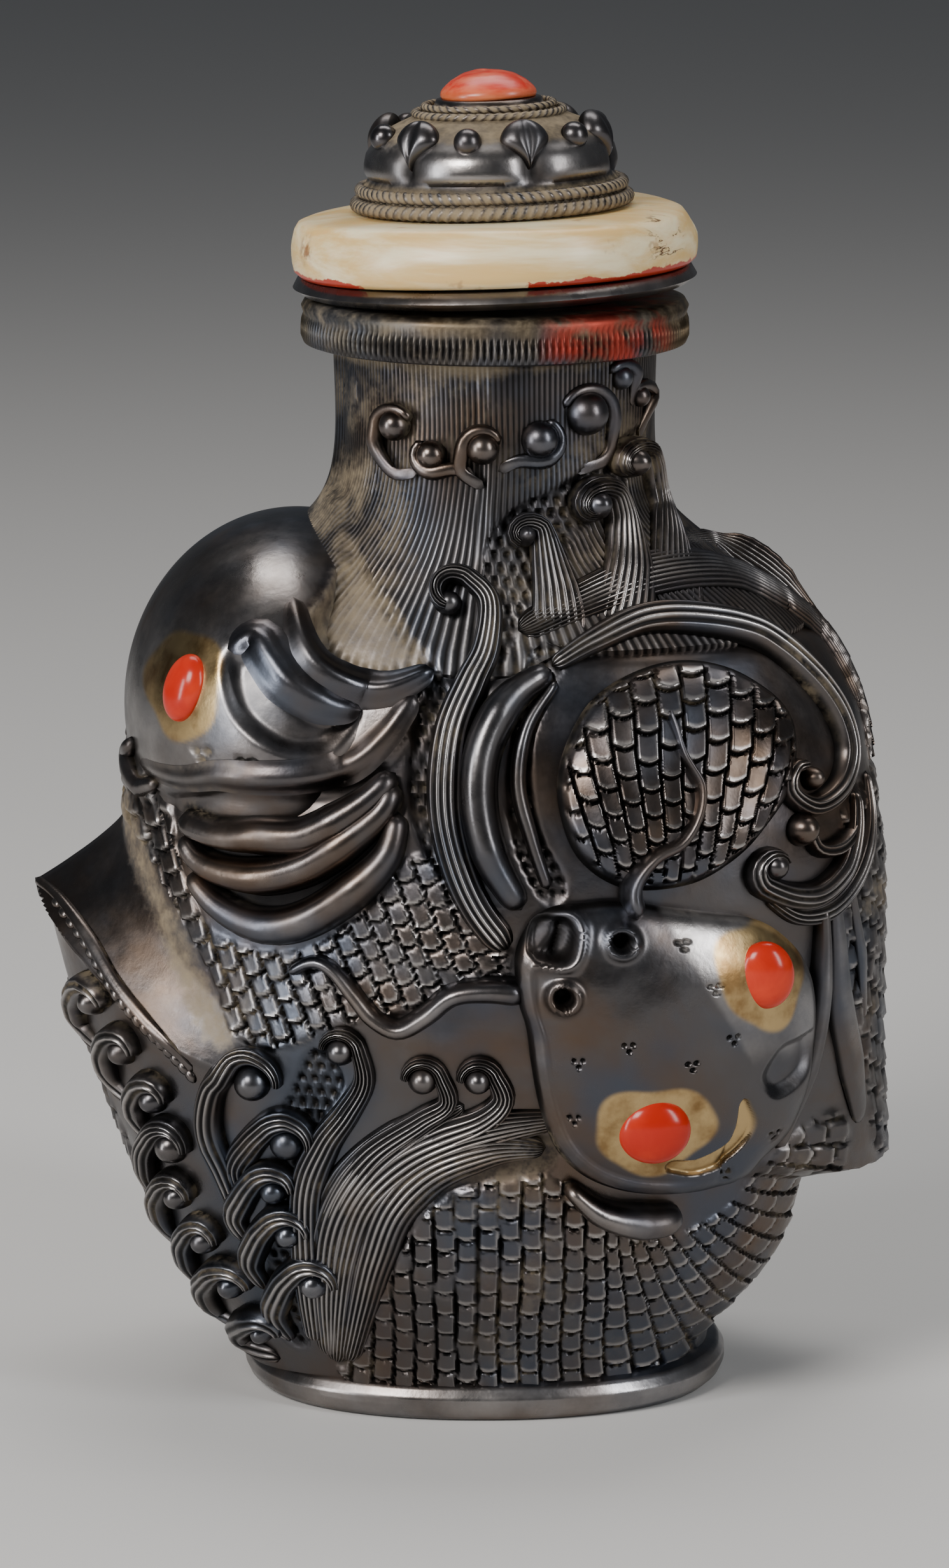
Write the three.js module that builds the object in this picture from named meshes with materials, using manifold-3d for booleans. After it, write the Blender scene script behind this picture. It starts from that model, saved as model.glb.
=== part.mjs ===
// Silver snuff bottle: two bulging fish heads, gills, horns, barbels and wave curls stand out of a
// flattened hollow body, under a tilted stopper of a silver disc, a bone disc and a silver finial.
// Millimetres, +Z up, origin at the centre of the foot's underside, the carved front faces -Y.
import * as THREE from 'three';
import { mergeVertices } from 'three/addons/utils/BufferGeometryUtils.js';
import Module from 'manifold-3d';

const wasm = await Module();
wasm.setup();

// Body
const bodyHeight = 65.3;
const bellyLeft = 22;
const bellyRight = 25;
const bellyDepth = 16.8;
const neckRadius = 9.9;
const neckShift = 1.25;
const mouthBore = 7.4;
const wall = 1.3;
const floorThickness = 3.4;

// Foot
const footHalfWidth = 15.4;
const footHalfDepth = 12.2;
const footHeight = 2.4;

// Mouth ring
const ringRadius = 11.9;
const ringHeight = 2.9;

// Stopper: a silver disc with a short plug, a bone disc and a finial, all leaning to the left
const seatGap = 0.3;
const stopperLean = THREE.MathUtils.degToRad(2);
const discInset = 0.1;
const discThickness = 0.9;
const plugClearance = 0.7;
const plugLength = 4;
const boneRadius = 12.5;
const boneThickness = 3.4;
const discRadius = boneRadius - discInset;
const finialRadius = 8.7;
const finialHeight = 6.5;
const ropeThickness = 1.1;
const finialBeads = 6;
const bezelRadius = 3.3;
const bezelHeight = 0.7;
const coralHeight = 1.4;

// Carving: heights of the relief above the body, and the round eyes
const headCrown = 3.1;
const headRim = 1.3;
const curlHeight = 1.2;
const gillHeight = 1.9;
const hornHeight = 1.6;
const leftTailReach = 5.6;
const rightTailReach = 5.4;
const eyeHeight = 1.1;
const eyeSeat = 0.7;

// Where carved forms meet, edges shorter than this are merged
const shortestEdge = 0.06;

const tau = Math.PI * 2;
const silver = new THREE.MeshStandardMaterial({ color: 0x6d6a68, roughness: 0.35, metalness: 0.95 });
const darkSilver = new THREE.MeshStandardMaterial({ color: 0x57524b, roughness: 0.45, metalness: 0.9 });
const bone = new THREE.MeshStandardMaterial({ color: 0xe8d9b4, roughness: 0.4, metalness: 0 });
const coral = new THREE.MeshStandardMaterial({ color: 0xd2401f, roughness: 0.3, metalness: 0 });

// Solids and meshes
function toGeometry(solid) {
  const mesh = solid.getMesh();
  const geometry = new THREE.BufferGeometry();
  const corners = new Float32Array(mesh.numVert * 3);
  for (let i = 0; i < mesh.numVert; i += 1) {
    for (let axis = 0; axis < 3; axis += 1) {
      corners[i * 3 + axis] = mesh.vertProperties[i * mesh.numProp + axis];
    }
  }
  geometry.setAttribute('position', new THREE.BufferAttribute(corners, 3));
  geometry.setIndex(new THREE.BufferAttribute(new Uint32Array(mesh.triVerts), 1));
  geometry.computeVertexNormals();
  return geometry;
}

function signedVolume(geometry) {
  const corners = geometry.attributes.position;
  const index = geometry.index;
  const a = new THREE.Vector3();
  const b = new THREE.Vector3();
  const c = new THREE.Vector3();
  let volume = 0;
  for (let i = 0; i < index.count; i += 3) {
    a.fromBufferAttribute(corners, index.getX(i));
    b.fromBufferAttribute(corners, index.getX(i + 1));
    c.fromBufferAttribute(corners, index.getX(i + 2));
    volume += a.dot(b.cross(c)) / 6;
  }
  return volume;
}

function toSolid(geometry) {
  geometry.deleteAttribute('normal');
  geometry.deleteAttribute('uv');
  const merged = mergeVertices(geometry, 1e-4);
  const triangles = Uint32Array.from(merged.index.array);
  if (signedVolume(merged) < 0) {
    for (let i = 0; i < triangles.length; i += 3) {
      [triangles[i + 1], triangles[i + 2]] = [triangles[i + 2], triangles[i + 1]];
    }
  }
  const corners = Float32Array.from(merged.attributes.position.array);
  return new wasm.Manifold(new wasm.Mesh({ numProp: 3, vertProperties: corners, triVerts: triangles }));
}

// Merges short edges, and keeps the largest shell, so no pocket stays sealed between carved forms
function cleaned(solid) {
  const shells = solid.asOriginal().simplify(shortestEdge).decompose();
  return shells.reduce((best, shell) => (shell.volume() > best.volume() ? shell : best));
}

// A closed form with a pole at each end: place(turn, along) gives the point for shares from 0 to 1
function closedForm(columns, rows, place) {
  const form = new THREE.SphereGeometry(1, columns, rows);
  const corners = form.attributes.position;
  for (let i = 0; i < corners.count; i += 1) {
    const column = i % (columns + 1);
    const row = Math.floor(i / (columns + 1));
    const point = place((column % columns) / columns, row / rows);
    corners.setXYZ(i, point.x, point.y, point.z);
  }
  return toSolid(form);
}

// A smooth curve through rows of [position, value, value, ...], read at any position
function smoothRow(rows, position, column) {
  const last = rows.length - 1;
  const at = THREE.MathUtils.clamp(position, rows[0][0], rows[last][0]);
  let i = 0;
  while (i < last - 1 && rows[i + 1][0] < at) {
    i += 1;
  }
  const slope = (k) => {
    const low = rows[Math.max(k - 1, 0)];
    const high = rows[Math.min(k + 1, last)];
    return (high[column] - low[column]) / (high[0] - low[0]);
  };
  const span = rows[i + 1][0] - rows[i][0];
  const t = (at - rows[i][0]) / span;
  const start = rows[i][column] * (1 + 2 * t) * (1 - t) ** 2 + slope(i) * span * t * (1 - t) ** 2;
  const end = rows[i + 1][column] * (3 - 2 * t) * t ** 2 - slope(i + 1) * span * (1 - t) * t ** 2;
  return start + end;
}

// Body outline, from the foot up: height as a share of the body's, then how far the left side, the
// right side and the depth have swelled from the neck's size to the belly's
const bodyOutline = [
  [0.02, 0.42, 0.22, 0.19],
  [0.055, 0.5, 0.27, 0.28],
  [0.107, 0.69, 0.49, 0.54],
  [0.158, 0.82, 0.62, 0.72],
  [0.23, 0.9, 0.7, 0.86],
  [0.306, 0.95, 0.78, 0.94],
  [0.383, 0.99, 0.87, 0.99],
  [0.459, 1, 0.95, 1],
  [0.536, 0.99, 1, 0.97],
  [0.634, 0.95, 0.94, 0.84],
  [0.683, 0.88, 0.86, 0.71],
  [0.732, 0.73, 0.71, 0.51],
  [0.766, 0.56, 0.55, 0.35],
  [0.806, 0.31, 0.29, 0.17],
  [0.851, 0.08, 0.06, 0.03],
  [0.9, 0, 0, 0],
  [1, 0, 0, 0],
];

function sectionAt(z, inset = 0) {
  const up = z / bodyHeight;
  const left = -(neckRadius - neckShift) - smoothRow(bodyOutline, up, 1) * (bellyLeft - neckRadius + neckShift);
  const right = neckRadius + neckShift + smoothRow(bodyOutline, up, 2) * (bellyRight - neckRadius - neckShift);
  const depth = neckRadius + smoothRow(bodyOutline, up, 3) * (bellyDepth - neckRadius);
  const squareness = 2 + 0.25 * THREE.MathUtils.smoothstep(0.82 - up, 0, 0.08);
  return {
    middle: (left + right) / 2,
    halfWidth: (right - left) / 2 - inset,
    halfDepth: depth - inset,
    squareness,
  };
}

function ringPoint(section, angle, z) {
  const power = 2 / section.squareness;
  const across = Math.sign(Math.cos(angle)) * Math.abs(Math.cos(angle)) ** power;
  const deep = Math.sign(Math.sin(angle)) * Math.abs(Math.sin(angle)) ** power;
  return new THREE.Vector3(section.middle + section.halfWidth * across, section.halfDepth * deep, z);
}

// The first fish's head is a bulge on the left shoulder that wraps round to the back
const shoulderHead = {
  x: -0.5 * bellyLeft,
  z: 0.659 * bodyHeight,
  halfWidth: 0.485 * bellyLeft,
  halfDepth: 0.92 * bellyDepth,
  halfHeight: 0.182 * bodyHeight,
};

// Depth of the body's face from the middle plane at a place on the front or back
function faceDepth(x, z) {
  const section = sectionAt(z);
  const aside = Math.min(Math.abs((x - section.middle) / section.halfWidth), 1);
  const face = section.halfDepth * (1 - aside ** section.squareness) ** (1 / section.squareness);
  const offX = (x - shoulderHead.x) / shoulderHead.halfWidth;
  const offZ = (z - shoulderHead.z) / shoulderHead.halfHeight;
  const bulge = shoulderHead.halfDepth * Math.sqrt(Math.max(1 - offX ** 2 - offZ ** 2, 0));
  return Math.max(face, bulge);
}

// A place on the face, lifted along the face's own normal; side is -1 for the front, 1 for the back
const probe = 0.4;
function onFace(x, z, lift, side) {
  const slopeX = (faceDepth(x + probe, z) - faceDepth(x - probe, z)) / (2 * probe);
  const slopeZ = (faceDepth(x, z + probe) - faceDepth(x, z - probe)) / (2 * probe);
  const normal = new THREE.Vector3(-slopeX, side, -slopeZ).normalize();
  const point = new THREE.Vector3(x, side * faceDepth(x, z), z);
  return { point: point.addScaledVector(normal, lift), normal };
}

// Carving is placed by shares: across the body from its left reach to its right, and up its height
function toPlace([across, up]) {
  return { x: across * (across < 0 ? bellyLeft : bellyRight), z: up * bodyHeight };
}

// The second fish's head, lower right: a rounded shield with its outline as radii round its middle
const frontHead = { middle: toPlace([0.45, 0.372]), size: 0.145 * bodyHeight };
const frontHeadOutline = [
  [0, 0.93], [30, 1], [60, 1], [90, 0.98], [105, 1.12], [120, 1.17], [135, 1.23], [150, 1.08],
  [165, 0.9], [180, 0.84], [210, 0.87], [240, 0.93], [270, 0.95], [300, 1], [330, 0.98], [360, 0.93],
];

function headRadius(angle) {
  const degrees = ((angle / tau) % 1 + 1) % 1 * 360;
  return frontHead.size * smoothRow(frontHeadOutline, degrees, 1);
}

function headLift(x, z) {
  const offX = x - frontHead.middle.x;
  const offZ = z - frontHead.middle.z;
  const share = Math.hypot(offX, offZ) / headRadius(Math.atan2(offZ, offX));
  if (share >= 1) {
    return 0;
  }
  return headRim + (headCrown - headRim) * Math.sqrt(1 - share ** 2);
}

// A dome over part of the face: edge(angle) is its outline, rise(share) its height inside it
const bury = 3;
function dome(middle, edge, rise, side, columns, rows) {
  return closedForm(columns, rows * 2, (turn, along) => {
    const angle = turn * tau;
    const share = Math.min(Math.sin(along * Math.PI), 1);
    const reach = share * edge(angle);
    const lift = along <= 0.5 ? rise(share) : -bury;
    return onFace(middle.x + reach * Math.cos(angle), middle.z + reach * Math.sin(angle), lift, side).point;
  });
}

// A rounded strip along a route on the face; width and height are half sizes by share of its length
function strip(route, width, height, side, lift = 0, columns = 5, rows = 6) {
  const places = route.map(toPlace);
  const path = new THREE.CatmullRomCurve3(places.map((p) => new THREE.Vector3(p.x, 0, p.z)));
  return closedForm(columns, rows, (turn, along) => {
    const here = path.getPointAt(along);
    const heading = path.getTangentAt(along);
    const seat = onFace(here.x, here.z, lift + headLift(here.x, here.z) * (side < 0 ? 1 : 0), side);
    const aside = new THREE.Vector3().crossVectors(heading, seat.normal).normalize();
    const angle = turn * tau;
    const fullness = Math.sqrt(Math.max(1 - (2 * along - 1) ** 4, 0));
    const rise = Math.sin(angle) > 0 ? height(along) : bury;
    return seat.point
      .addScaledVector(aside, Math.cos(angle) * width(along) * fullness)
      .addScaledVector(seat.normal, Math.sin(angle) * rise * fullness);
  });
}

// A rounded button on the face, with its own half sizes across, up and out
function button(place, halfWidth, halfHeight, rise, side, lean = 0, sunk = 0, columns = 6, rows = 4) {
  const { x, z } = toPlace(place);
  const lift = side < 0 ? headLift(x, z) : 0;
  const seat = onFace(x, z, lift - sunk, side);
  const right = new THREE.Vector3(Math.cos(lean), 0, Math.sin(lean)).projectOnPlane(seat.normal).normalize();
  const upward = new THREE.Vector3().crossVectors(right, seat.normal).normalize();
  return closedForm(columns, rows, (turn, along) => {
    const angle = turn * tau;
    const share = Math.sin(along * Math.PI);
    return seat.point.clone()
      .addScaledVector(right, Math.cos(angle) * share * halfWidth)
      .addScaledVector(upward, Math.sin(angle) * share * halfHeight)
      .addScaledVector(seat.normal, Math.cos(along * Math.PI) * rise);
  });
}

// A wave curl: a tapering strip that ends in a round button
const taper = (from, to) => (along) => THREE.MathUtils.lerp(from, to, along);
function curl(route, width, side, bead = 1.25 * width) {
  return [
    strip(route, taper(1.4 * width, 0.6 * width), taper(curlHeight, 0.6 * curlHeight), side),
    button(route[0], bead, bead, curlHeight * 1.25, side),
  ];
}

// A tail that flares out of the body's side: each row holds a share of the sweep from the middle,
// the heights of its root, rim and underside, and how far the rim reaches out, as shares
function flare(sign, sweep, reach, rows) {
  const bands = 10;
  return closedForm(8, bands, (turn, along) => {
    const offset = 2 * along - 1;
    const read = (column) => smoothRow(rows, Math.abs(offset), column);
    const root = read(1) * bodyHeight;
    const rim = read(2) * bodyHeight;
    const under = read(3) * bodyHeight;
    const out = read(4) * reach;
    const loop = [
      [root, -wall / 2], [THREE.MathUtils.lerp(root, rim, 0.5), out * 0.42], [rim, out], [rim - wall / 2, out],
      [THREE.MathUtils.lerp(rim, under, 0.25), out * 0.72], [THREE.MathUtils.lerp(rim, under, 0.6), out * 0.4],
      [under, -wall / 2], [THREE.MathUtils.lerp(root, under, 0.5), -wall / 2],
    ];
    const corner = loop[Math.round(turn * loop.length) % loop.length];
    const ending = along === 0 || along === 1;
    const z = ending ? rim : corner[0];
    const lift = ending ? -wall / 2 : corner[1];
    const facing = sign < 0 ? Math.PI : 0;
    const angle = facing + offset * sweep;
    const point = ringPoint(sectionAt(z), angle, z);
    const outward = new THREE.Vector3(Math.cos(angle), Math.sin(angle), 0);
    return point.addScaledVector(outward, lift);
  });
}

// Body shell: an oval rounded foot, the body and neck, hollow from the floor to the mouth
function footSolid() {
  const profile = [[0, 0], [0.95, 0], [0.99, 0.2], [1, 0.5], [0.98, 0.82], [0.93, 1], [0, 1]];
  return closedForm(32, profile.length - 1, (turn, along) => {
    const [share, up] = profile[Math.round(along * (profile.length - 1))];
    const angle = turn * tau;
    return new THREE.Vector3(
      share * footHalfWidth * Math.cos(angle),
      share * footHalfDepth * Math.sin(angle),
      up * footHeight,
    );
  });
}

function bodySolid() {
  const low = footHeight * 0.4;
  const rows = 24;
  return closedForm(36, rows, (turn, along) => {
    const z = THREE.MathUtils.lerp(low, bodyHeight, THREE.MathUtils.clamp((along * rows - 1) / (rows - 2), 0, 1));
    const section = sectionAt(z);
    if (along === 0 || along === 1) {
      return new THREE.Vector3(section.middle, 0, z);
    }
    return ringPoint(section, turn * tau, z);
  });
}

function hollowSolid() {
  const floorShare = floorThickness / bodyHeight;
  const bodyLevels = [floorShare, floorShare, 0.11, 0.2, 0.35, 0.5, 0.65, 0.74, 0.785, 0.82];
  const neckLevels = [0.86, 1.01, 1.01];
  const levels = [...bodyLevels, ...neckLevels];
  return closedForm(20, levels.length - 1, (turn, along) => {
    const row = Math.round(along * (levels.length - 1));
    const z = levels[row] * bodyHeight;
    if (row === 0 || row === levels.length - 1) {
      return new THREE.Vector3(neckShift, 0, z);
    }
    if (row < bodyLevels.length) {
      return ringPoint(sectionAt(z, wall), turn * tau, z);
    }
    return new THREE.Vector3(
      neckShift + mouthBore * Math.cos(turn * tau),
      mouthBore * Math.sin(turn * tau),
      z,
    );
  });
}

function shoulderHeadSolid() {
  return closedForm(22, 12, (turn, along) => {
    const angle = turn * tau;
    const share = Math.sin(along * Math.PI);
    return new THREE.Vector3(
      shoulderHead.x + shoulderHead.halfWidth * share * Math.cos(angle),
      shoulderHead.halfDepth * share * Math.sin(angle),
      shoulderHead.z + shoulderHead.halfHeight * Math.cos(along * Math.PI),
    );
  });
}

// Carved forms shared by both faces: the shoulder head's brow and three gills, and the shoulder mane
function gillForms(side) {
  const gills = [
    [[-0.78, 0.582], [-0.62, 0.573], [-0.45, 0.575], [-0.3, 0.608], [-0.21, 0.632]],
    [[-0.76, 0.563], [-0.62, 0.535], [-0.46, 0.546], [-0.32, 0.578], [-0.22, 0.622]],
    [[-0.74, 0.528], [-0.6, 0.489], [-0.44, 0.492], [-0.3, 0.532], [-0.21, 0.598]],
  ];
  const forms = gills.map((route) => strip(
    route,
    (along) => gillHeight * (0.45 + 0.45 * Math.sin(along * Math.PI)),
    (along) => gillHeight * (0.4 + 0.4 * Math.sin(along * Math.PI)),
    side,
  ));
  const brow = [[-0.66, 0.745], [-0.56, 0.738], [-0.49, 0.715], [-0.4, 0.697], [-0.31, 0.689]];
  const cheek = [[-0.52, 0.75], [-0.46, 0.726], [-0.36, 0.71], [-0.24, 0.708], [-0.12, 0.722]];
  forms.push(strip(brow, taper(1.1, 0.6), taper(1.1, 0.5), side));
  forms.push(strip(cheek, taper(1, 0.5), taper(0.9, 0.5), side));
  return forms;
}

// Front only: the lower head with its nostrils and lobe, horns, barbels, scaly dome, mane and curls
function frontForms() {
  const front = -1;
  const scalyDome = { middle: toPlace([0.487, 0.634]), halfWidth: 0.284 * bellyRight, halfHeight: 0.097 * bodyHeight };
  const domeEdge = (angle) => 1 / Math.hypot(
    Math.cos(angle) / scalyDome.halfWidth,
    Math.sin(angle) / scalyDome.halfHeight,
  );
  const domeRise = (share) => curlHeight * Math.sqrt(Math.max(1 - share ** 2, 0)) + 0.1;
  const headRise = (share) => headRim + (headCrown - headRim) * Math.sqrt(Math.max(1 - share ** 2, 0));
  const forms = [
    dome(frontHead.middle, headRadius, headRise, front, 24, 4),
    dome(scalyDome.middle, domeEdge, domeRise, front, 14, 2),
  ];
  const even = (size) => () => size;
  const bulging = (size) => (along) => size * (0.35 + 0.65 * Math.sin(along * Math.PI));
  const hornOuter = [[0.18, 0.724], [0.09, 0.701], [0.02, 0.662], [0.004, 0.616], [0.036, 0.564], [0.1, 0.515]];
  const hornInner = [[0.2, 0.717], [0.12, 0.675], [0.1, 0.626], [0.13, 0.576], [0.17, 0.535]];
  forms.push(strip(hornOuter, bulging(1.25), bulging(hornHeight), front));
  forms.push(strip(hornInner, bulging(0.65), bulging(0.7 * hornHeight), front));
  const barbelUp = [[0.39, 0.505], [0.37, 0.533], [0.41, 0.557], [0.51, 0.59], [0.51, 0.622], [0.46, 0.672], [0.44, 0.685]];
  const barbelLeft = [[0.19, 0.425], [0.03, 0.438], [-0.06, 0.433], [-0.2, 0.4], [-0.32, 0.43], [-0.44, 0.459], [-0.5, 0.447]];
  forms.push(strip(barbelUp, taper(0.75, 0.4), even(1), front, 0, 4, 9));
  forms.push(strip(barbelLeft, taper(0.75, 0.4), even(0.9), front, 0, 4, 9));
  const lobe = [[0.22, 0.251], [0.3, 0.222], [0.4, 0.21], [0.5, 0.208]];
  forms.push(strip(lobe, taper(0.6, 1.3), taper(1.2, 1.7), front, 0, 5, 4));
  const arc = [[0.2, 0.724], [0.28, 0.746], [0.4, 0.763], [0.54, 0.758], [0.68, 0.74], [0.78, 0.707],
    [0.86, 0.671], [0.89, 0.629], [0.86, 0.603]];
  forms.push(strip(arc, even(1.1), even(curlHeight), front, 0, 4, 10));
  const outerArc = [[0.89, 0.629], [0.93, 0.596], [0.92, 0.539], [0.87, 0.489], [0.81, 0.458]];
  forms.push(strip(outerArc, taper(1, 0.7), even(curlHeight), front));
  const curls = [
    { width: 0.95, route: [[-0.08, 0.79], [-0.1, 0.807], [0.01, 0.806], [0.03, 0.755], [-0.05, 0.7], [-0.08, 0.63], [-0.03, 0.56], [0.07, 0.475]] },
    { width: 0.75, route: [[0.1, 0.845], [0.15, 0.85], [0.18, 0.81], [0.2, 0.76]] },
    { width: 0.8, route: [[0.28, 0.865], [0.34, 0.858], [0.35, 0.81], [0.27, 0.755]] },
    { width: 0.75, route: [[0.36, 0.9], [0.42, 0.865], [0.43, 0.815], [0.33, 0.758]] },
    { width: 0.7, route: [[0.77, 0.6], [0.83, 0.604], [0.88, 0.63]] },
    { width: 0.7, route: [[0.78, 0.57], [0.83, 0.548], [0.92, 0.568]] },
    { width: 0.7, route: [[0.71, 0.54], [0.7, 0.52], [0.78, 0.503], [0.88, 0.525], [0.93, 0.59]] },
    { width: 0.75, route: [[-0.36, 0.378], [-0.3, 0.35], [-0.3, 0.3], [-0.35, 0.2], [-0.38, 0.06]] },
    { width: 0.75, route: [[-0.14, 0.352], [-0.1, 0.32], [-0.18, 0.28], [-0.3, 0.23], [-0.37, 0.13]] },
    { width: 0.75, route: [[0.005, 0.352], [0.05, 0.32], [-0.04, 0.29], [-0.2, 0.23]] },
    { width: 0.8, route: [[-0.6, 0.34], [-0.7, 0.345], [-0.71, 0.3], [-0.64, 0.24]] },
    { width: 0.75, route: [[-0.51, 0.283], [-0.6, 0.29], [-0.62, 0.25], [-0.57, 0.2]] },
    { width: 0.75, route: [[-0.57, 0.233], [-0.66, 0.235], [-0.64, 0.19], [-0.57, 0.14]] },
    { width: 0.7, route: [[-0.51, 0.199], [-0.58, 0.2], [-0.59, 0.16], [-0.53, 0.11]] },
    { width: 0.7, route: [[-0.43, 0.152], [-0.5, 0.15], [-0.51, 0.11], [-0.46, 0.06]] },
    { width: 0.75, route: [[-0.84, 0.22], [-0.9, 0.24], [-0.84, 0.26], [-0.77, 0.22], [-0.72, 0.14]] },
  ];
  curls.forEach(({ width, route }) => forms.push(...curl(route, width, front)));
  const neckBeads = [[-0.22, 0.94, 1], [-0.12, 0.913, 1.2], [0.016, 0.922, 1.2], [0.156, 0.931, 1.4], [0.268, 0.949, 1.4],
    [0.36, 0.904, 1], [0.35, 0.98, 0.8]];
  neckBeads.forEach(([across, up, size]) => forms.push(button([across, up], size, size, 0.9, front)));
  const nostrils = [[0.2, 0.44], [0.332, 0.486]];
  nostrils.forEach((place) => forms.push(button(place, 0.95, 0.95, 0.7, front)));
  return forms;
}

// The back is plainer: a mane of four long curls below the shoulder head
function backForms() {
  const back = 1;
  const curls = [
    { width: 1, route: [[0.1, 0.8], [0.05, 0.78], [0.02, 0.72], [0.1, 0.6], [0.2, 0.48]] },
    { width: 1, route: [[0.35, 0.74], [0.28, 0.71], [0.27, 0.63], [0.36, 0.52], [0.4, 0.42]] },
    { width: 1, route: [[-0.1, 0.42], [-0.16, 0.37], [-0.14, 0.29], [-0.04, 0.2], [0.1, 0.13]] },
    { width: 1, route: [[0.18, 0.38], [0.12, 0.33], [0.14, 0.26], [0.24, 0.18], [0.36, 0.12]] },
  ];
  return curls.flatMap(({ width, route }) => curl(route, width, back));
}

// Coral eyes: place, half sizes and lean; each sits in a seat cut wider than itself by the seat gap
const eyes = [
  { name: 'eye_shoulder_front', place: [-0.795, 0.704], halfWidth: 1.55, halfHeight: 2.1, lean: -0.3, side: -1 },
  { name: 'eye_shoulder_back', place: [-0.795, 0.704], halfWidth: 1.55, halfHeight: 2.1, lean: -0.3, side: 1 },
  { name: 'eye_upper', place: [0.652, 0.449], halfWidth: 1.75, halfHeight: 2.1, lean: 0.1, side: -1 },
  { name: 'eye_lower', place: [0.4, 0.312], halfWidth: 2.2, halfHeight: 2, lean: 0, side: -1 },
];

function eyeSolid(eye, extra) {
  return button(eye.place, eye.halfWidth + extra, eye.halfHeight + extra, eyeHeight + extra, eye.side, eye.lean,
    eyeSeat - eyeHeight / 2, 10, 6);
}

function bottleSolid() {
  const leftTail = [
    [0, 0.55, 0.483, 0.15, 1], [0.35, 0.51, 0.43, 0.15, 0.62], [0.7, 0.44, 0.37, 0.15, 0.34], [1, 0.385, 0.34, 0.16, 0.1],
  ];
  const rightTail = [
    [0, 0.56, 0.217, 0.25, 1], [0.35, 0.55, 0.222, 0.26, 0.7], [0.7, 0.52, 0.24, 0.28, 0.35], [1, 0.46, 0.26, 0.3, 0.1],
  ];
  const forms = [
    footSolid(),
    bodySolid(),
    shoulderHeadSolid(),
    flare(-1, 0.95, leftTailReach, leftTail),
    flare(1, 0.8, rightTailReach, rightTail),
    ...gillForms(-1),
    ...gillForms(1),
    ...frontForms(),
    ...backForms(),
  ];
  const outside = wasm.Manifold.union(forms);
  const seats = wasm.Manifold.union(eyes.map((eye) => eyeSolid(eye, seatGap)));
  return cleaned(outside.subtract(seats).subtract(hollowSolid()));
}

// Turned pieces are lathed round the neck's axis
function turned(profile, segments) {
  const points = profile.map(([radius, height]) => new THREE.Vector2(radius, height));
  const lathe = new THREE.LatheGeometry(points, segments);
  lathe.rotateX(Math.PI / 2);
  return toSolid(lathe);
}

function ringSolid() {
  const half = ringHeight / 2;
  return turned([
    [mouthBore, 0], [ringRadius - 0.7, 0], [ringRadius, 0.5], [ringRadius, half + 0.2], [ringRadius - 0.45, half + 0.45],
    [ringRadius - 0.1, ringHeight - 0.5], [ringRadius - 0.6, ringHeight], [mouthBore, ringHeight], [mouthBore, 0],
  ], 32);
}

function stopperDiscSolid() {
  const plugRadius = mouthBore - plugClearance;
  return turned([
    [0, -plugLength], [plugRadius - 0.5, -plugLength], [plugRadius, 0.5 - plugLength], [plugRadius, 0],
    [discRadius - 0.3, 0], [discRadius, discThickness / 2], [discRadius - 0.3, discThickness], [0, discThickness],
  ], 32);
}

function boneSolid() {
  const t = boneThickness;
  return turned([
    [0, 0], [boneRadius - 0.7, 0], [boneRadius - 0.15, 0.25 * t], [boneRadius, 0.5 * t],
    [boneRadius - 0.2, 0.8 * t], [boneRadius - 0.9, t], [0, t],
  ], 32);
}

// Finial: two rope rings, a domed skirt with beads between pointed leaves, and the bezel on top
function finialSolid() {
  const r = finialRadius;
  const h = finialHeight - bezelHeight;
  const skirt = turned([
    [0, 0], [r - 0.4, 0], [r, 0.5 * ropeThickness], [r - 0.4, ropeThickness], [r - 0.5, 1.2 * ropeThickness],
    [r - 0.7, 1.6 * ropeThickness], [0.86 * r, 0.36 * h], [0.86 * r, 0.5 * h], [0.78 * r, 0.68 * h],
    [0.62 * r, 0.8 * h], [0.48 * r, 0.86 * h], [bezelRadius + 0.5, h], [bezelRadius, h],
    [bezelRadius, finialHeight], [0, finialHeight],
  ], 24);
  const forms = [skirt];
  for (let i = 0; i < finialBeads; i += 1) {
    const angle = (i / finialBeads) * tau;
    const bead = new THREE.SphereGeometry(1.05, 6, 4);
    bead.translate(0.8 * r, 0, 0.68 * h);
    bead.rotateZ(angle);
    forms.push(toSolid(bead));
    const leaf = closedForm(4, 4, (turn, along) => {
      const share = Math.sin(along * Math.PI);
      return new THREE.Vector3(
        0.8 * r + 0.7 * share * Math.cos(turn * tau) - 1.2 * (0.5 - along),
        1.5 * share * Math.sin(turn * tau),
        (0.35 + 0.6 * (1 - along)) * h,
      );
    });
    forms.push(leaf.rotate([0, 0, ((i + 0.5) / finialBeads) * 360]));
  }
  return cleaned(wasm.Manifold.union(forms));
}

function topCoralSolid() {
  return turned([
    [0, 0], [bezelRadius - 0.35, 0], [bezelRadius - 0.3, 0.3 * coralHeight], [0.62 * bezelRadius, 0.8 * coralHeight],
    [0.25 * bezelRadius, 0.98 * coralHeight], [0, coralHeight],
  ], 16);
}

function meshOf(name, solid, material) {
  const mesh = new THREE.Mesh(toGeometry(solid), material);
  mesh.name = name;
  return mesh;
}

const snuffBottle = new THREE.Group();
snuffBottle.add(meshOf('bottle', bottleSolid(), silver));
eyes.forEach((eye) => snuffBottle.add(meshOf(eye.name, eyeSolid(eye, 0), coral)));

const mouthRing = meshOf('mouth_ring', ringSolid(), darkSilver);
mouthRing.position.set(neckShift, 0, bodyHeight);
snuffBottle.add(mouthRing);

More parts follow.
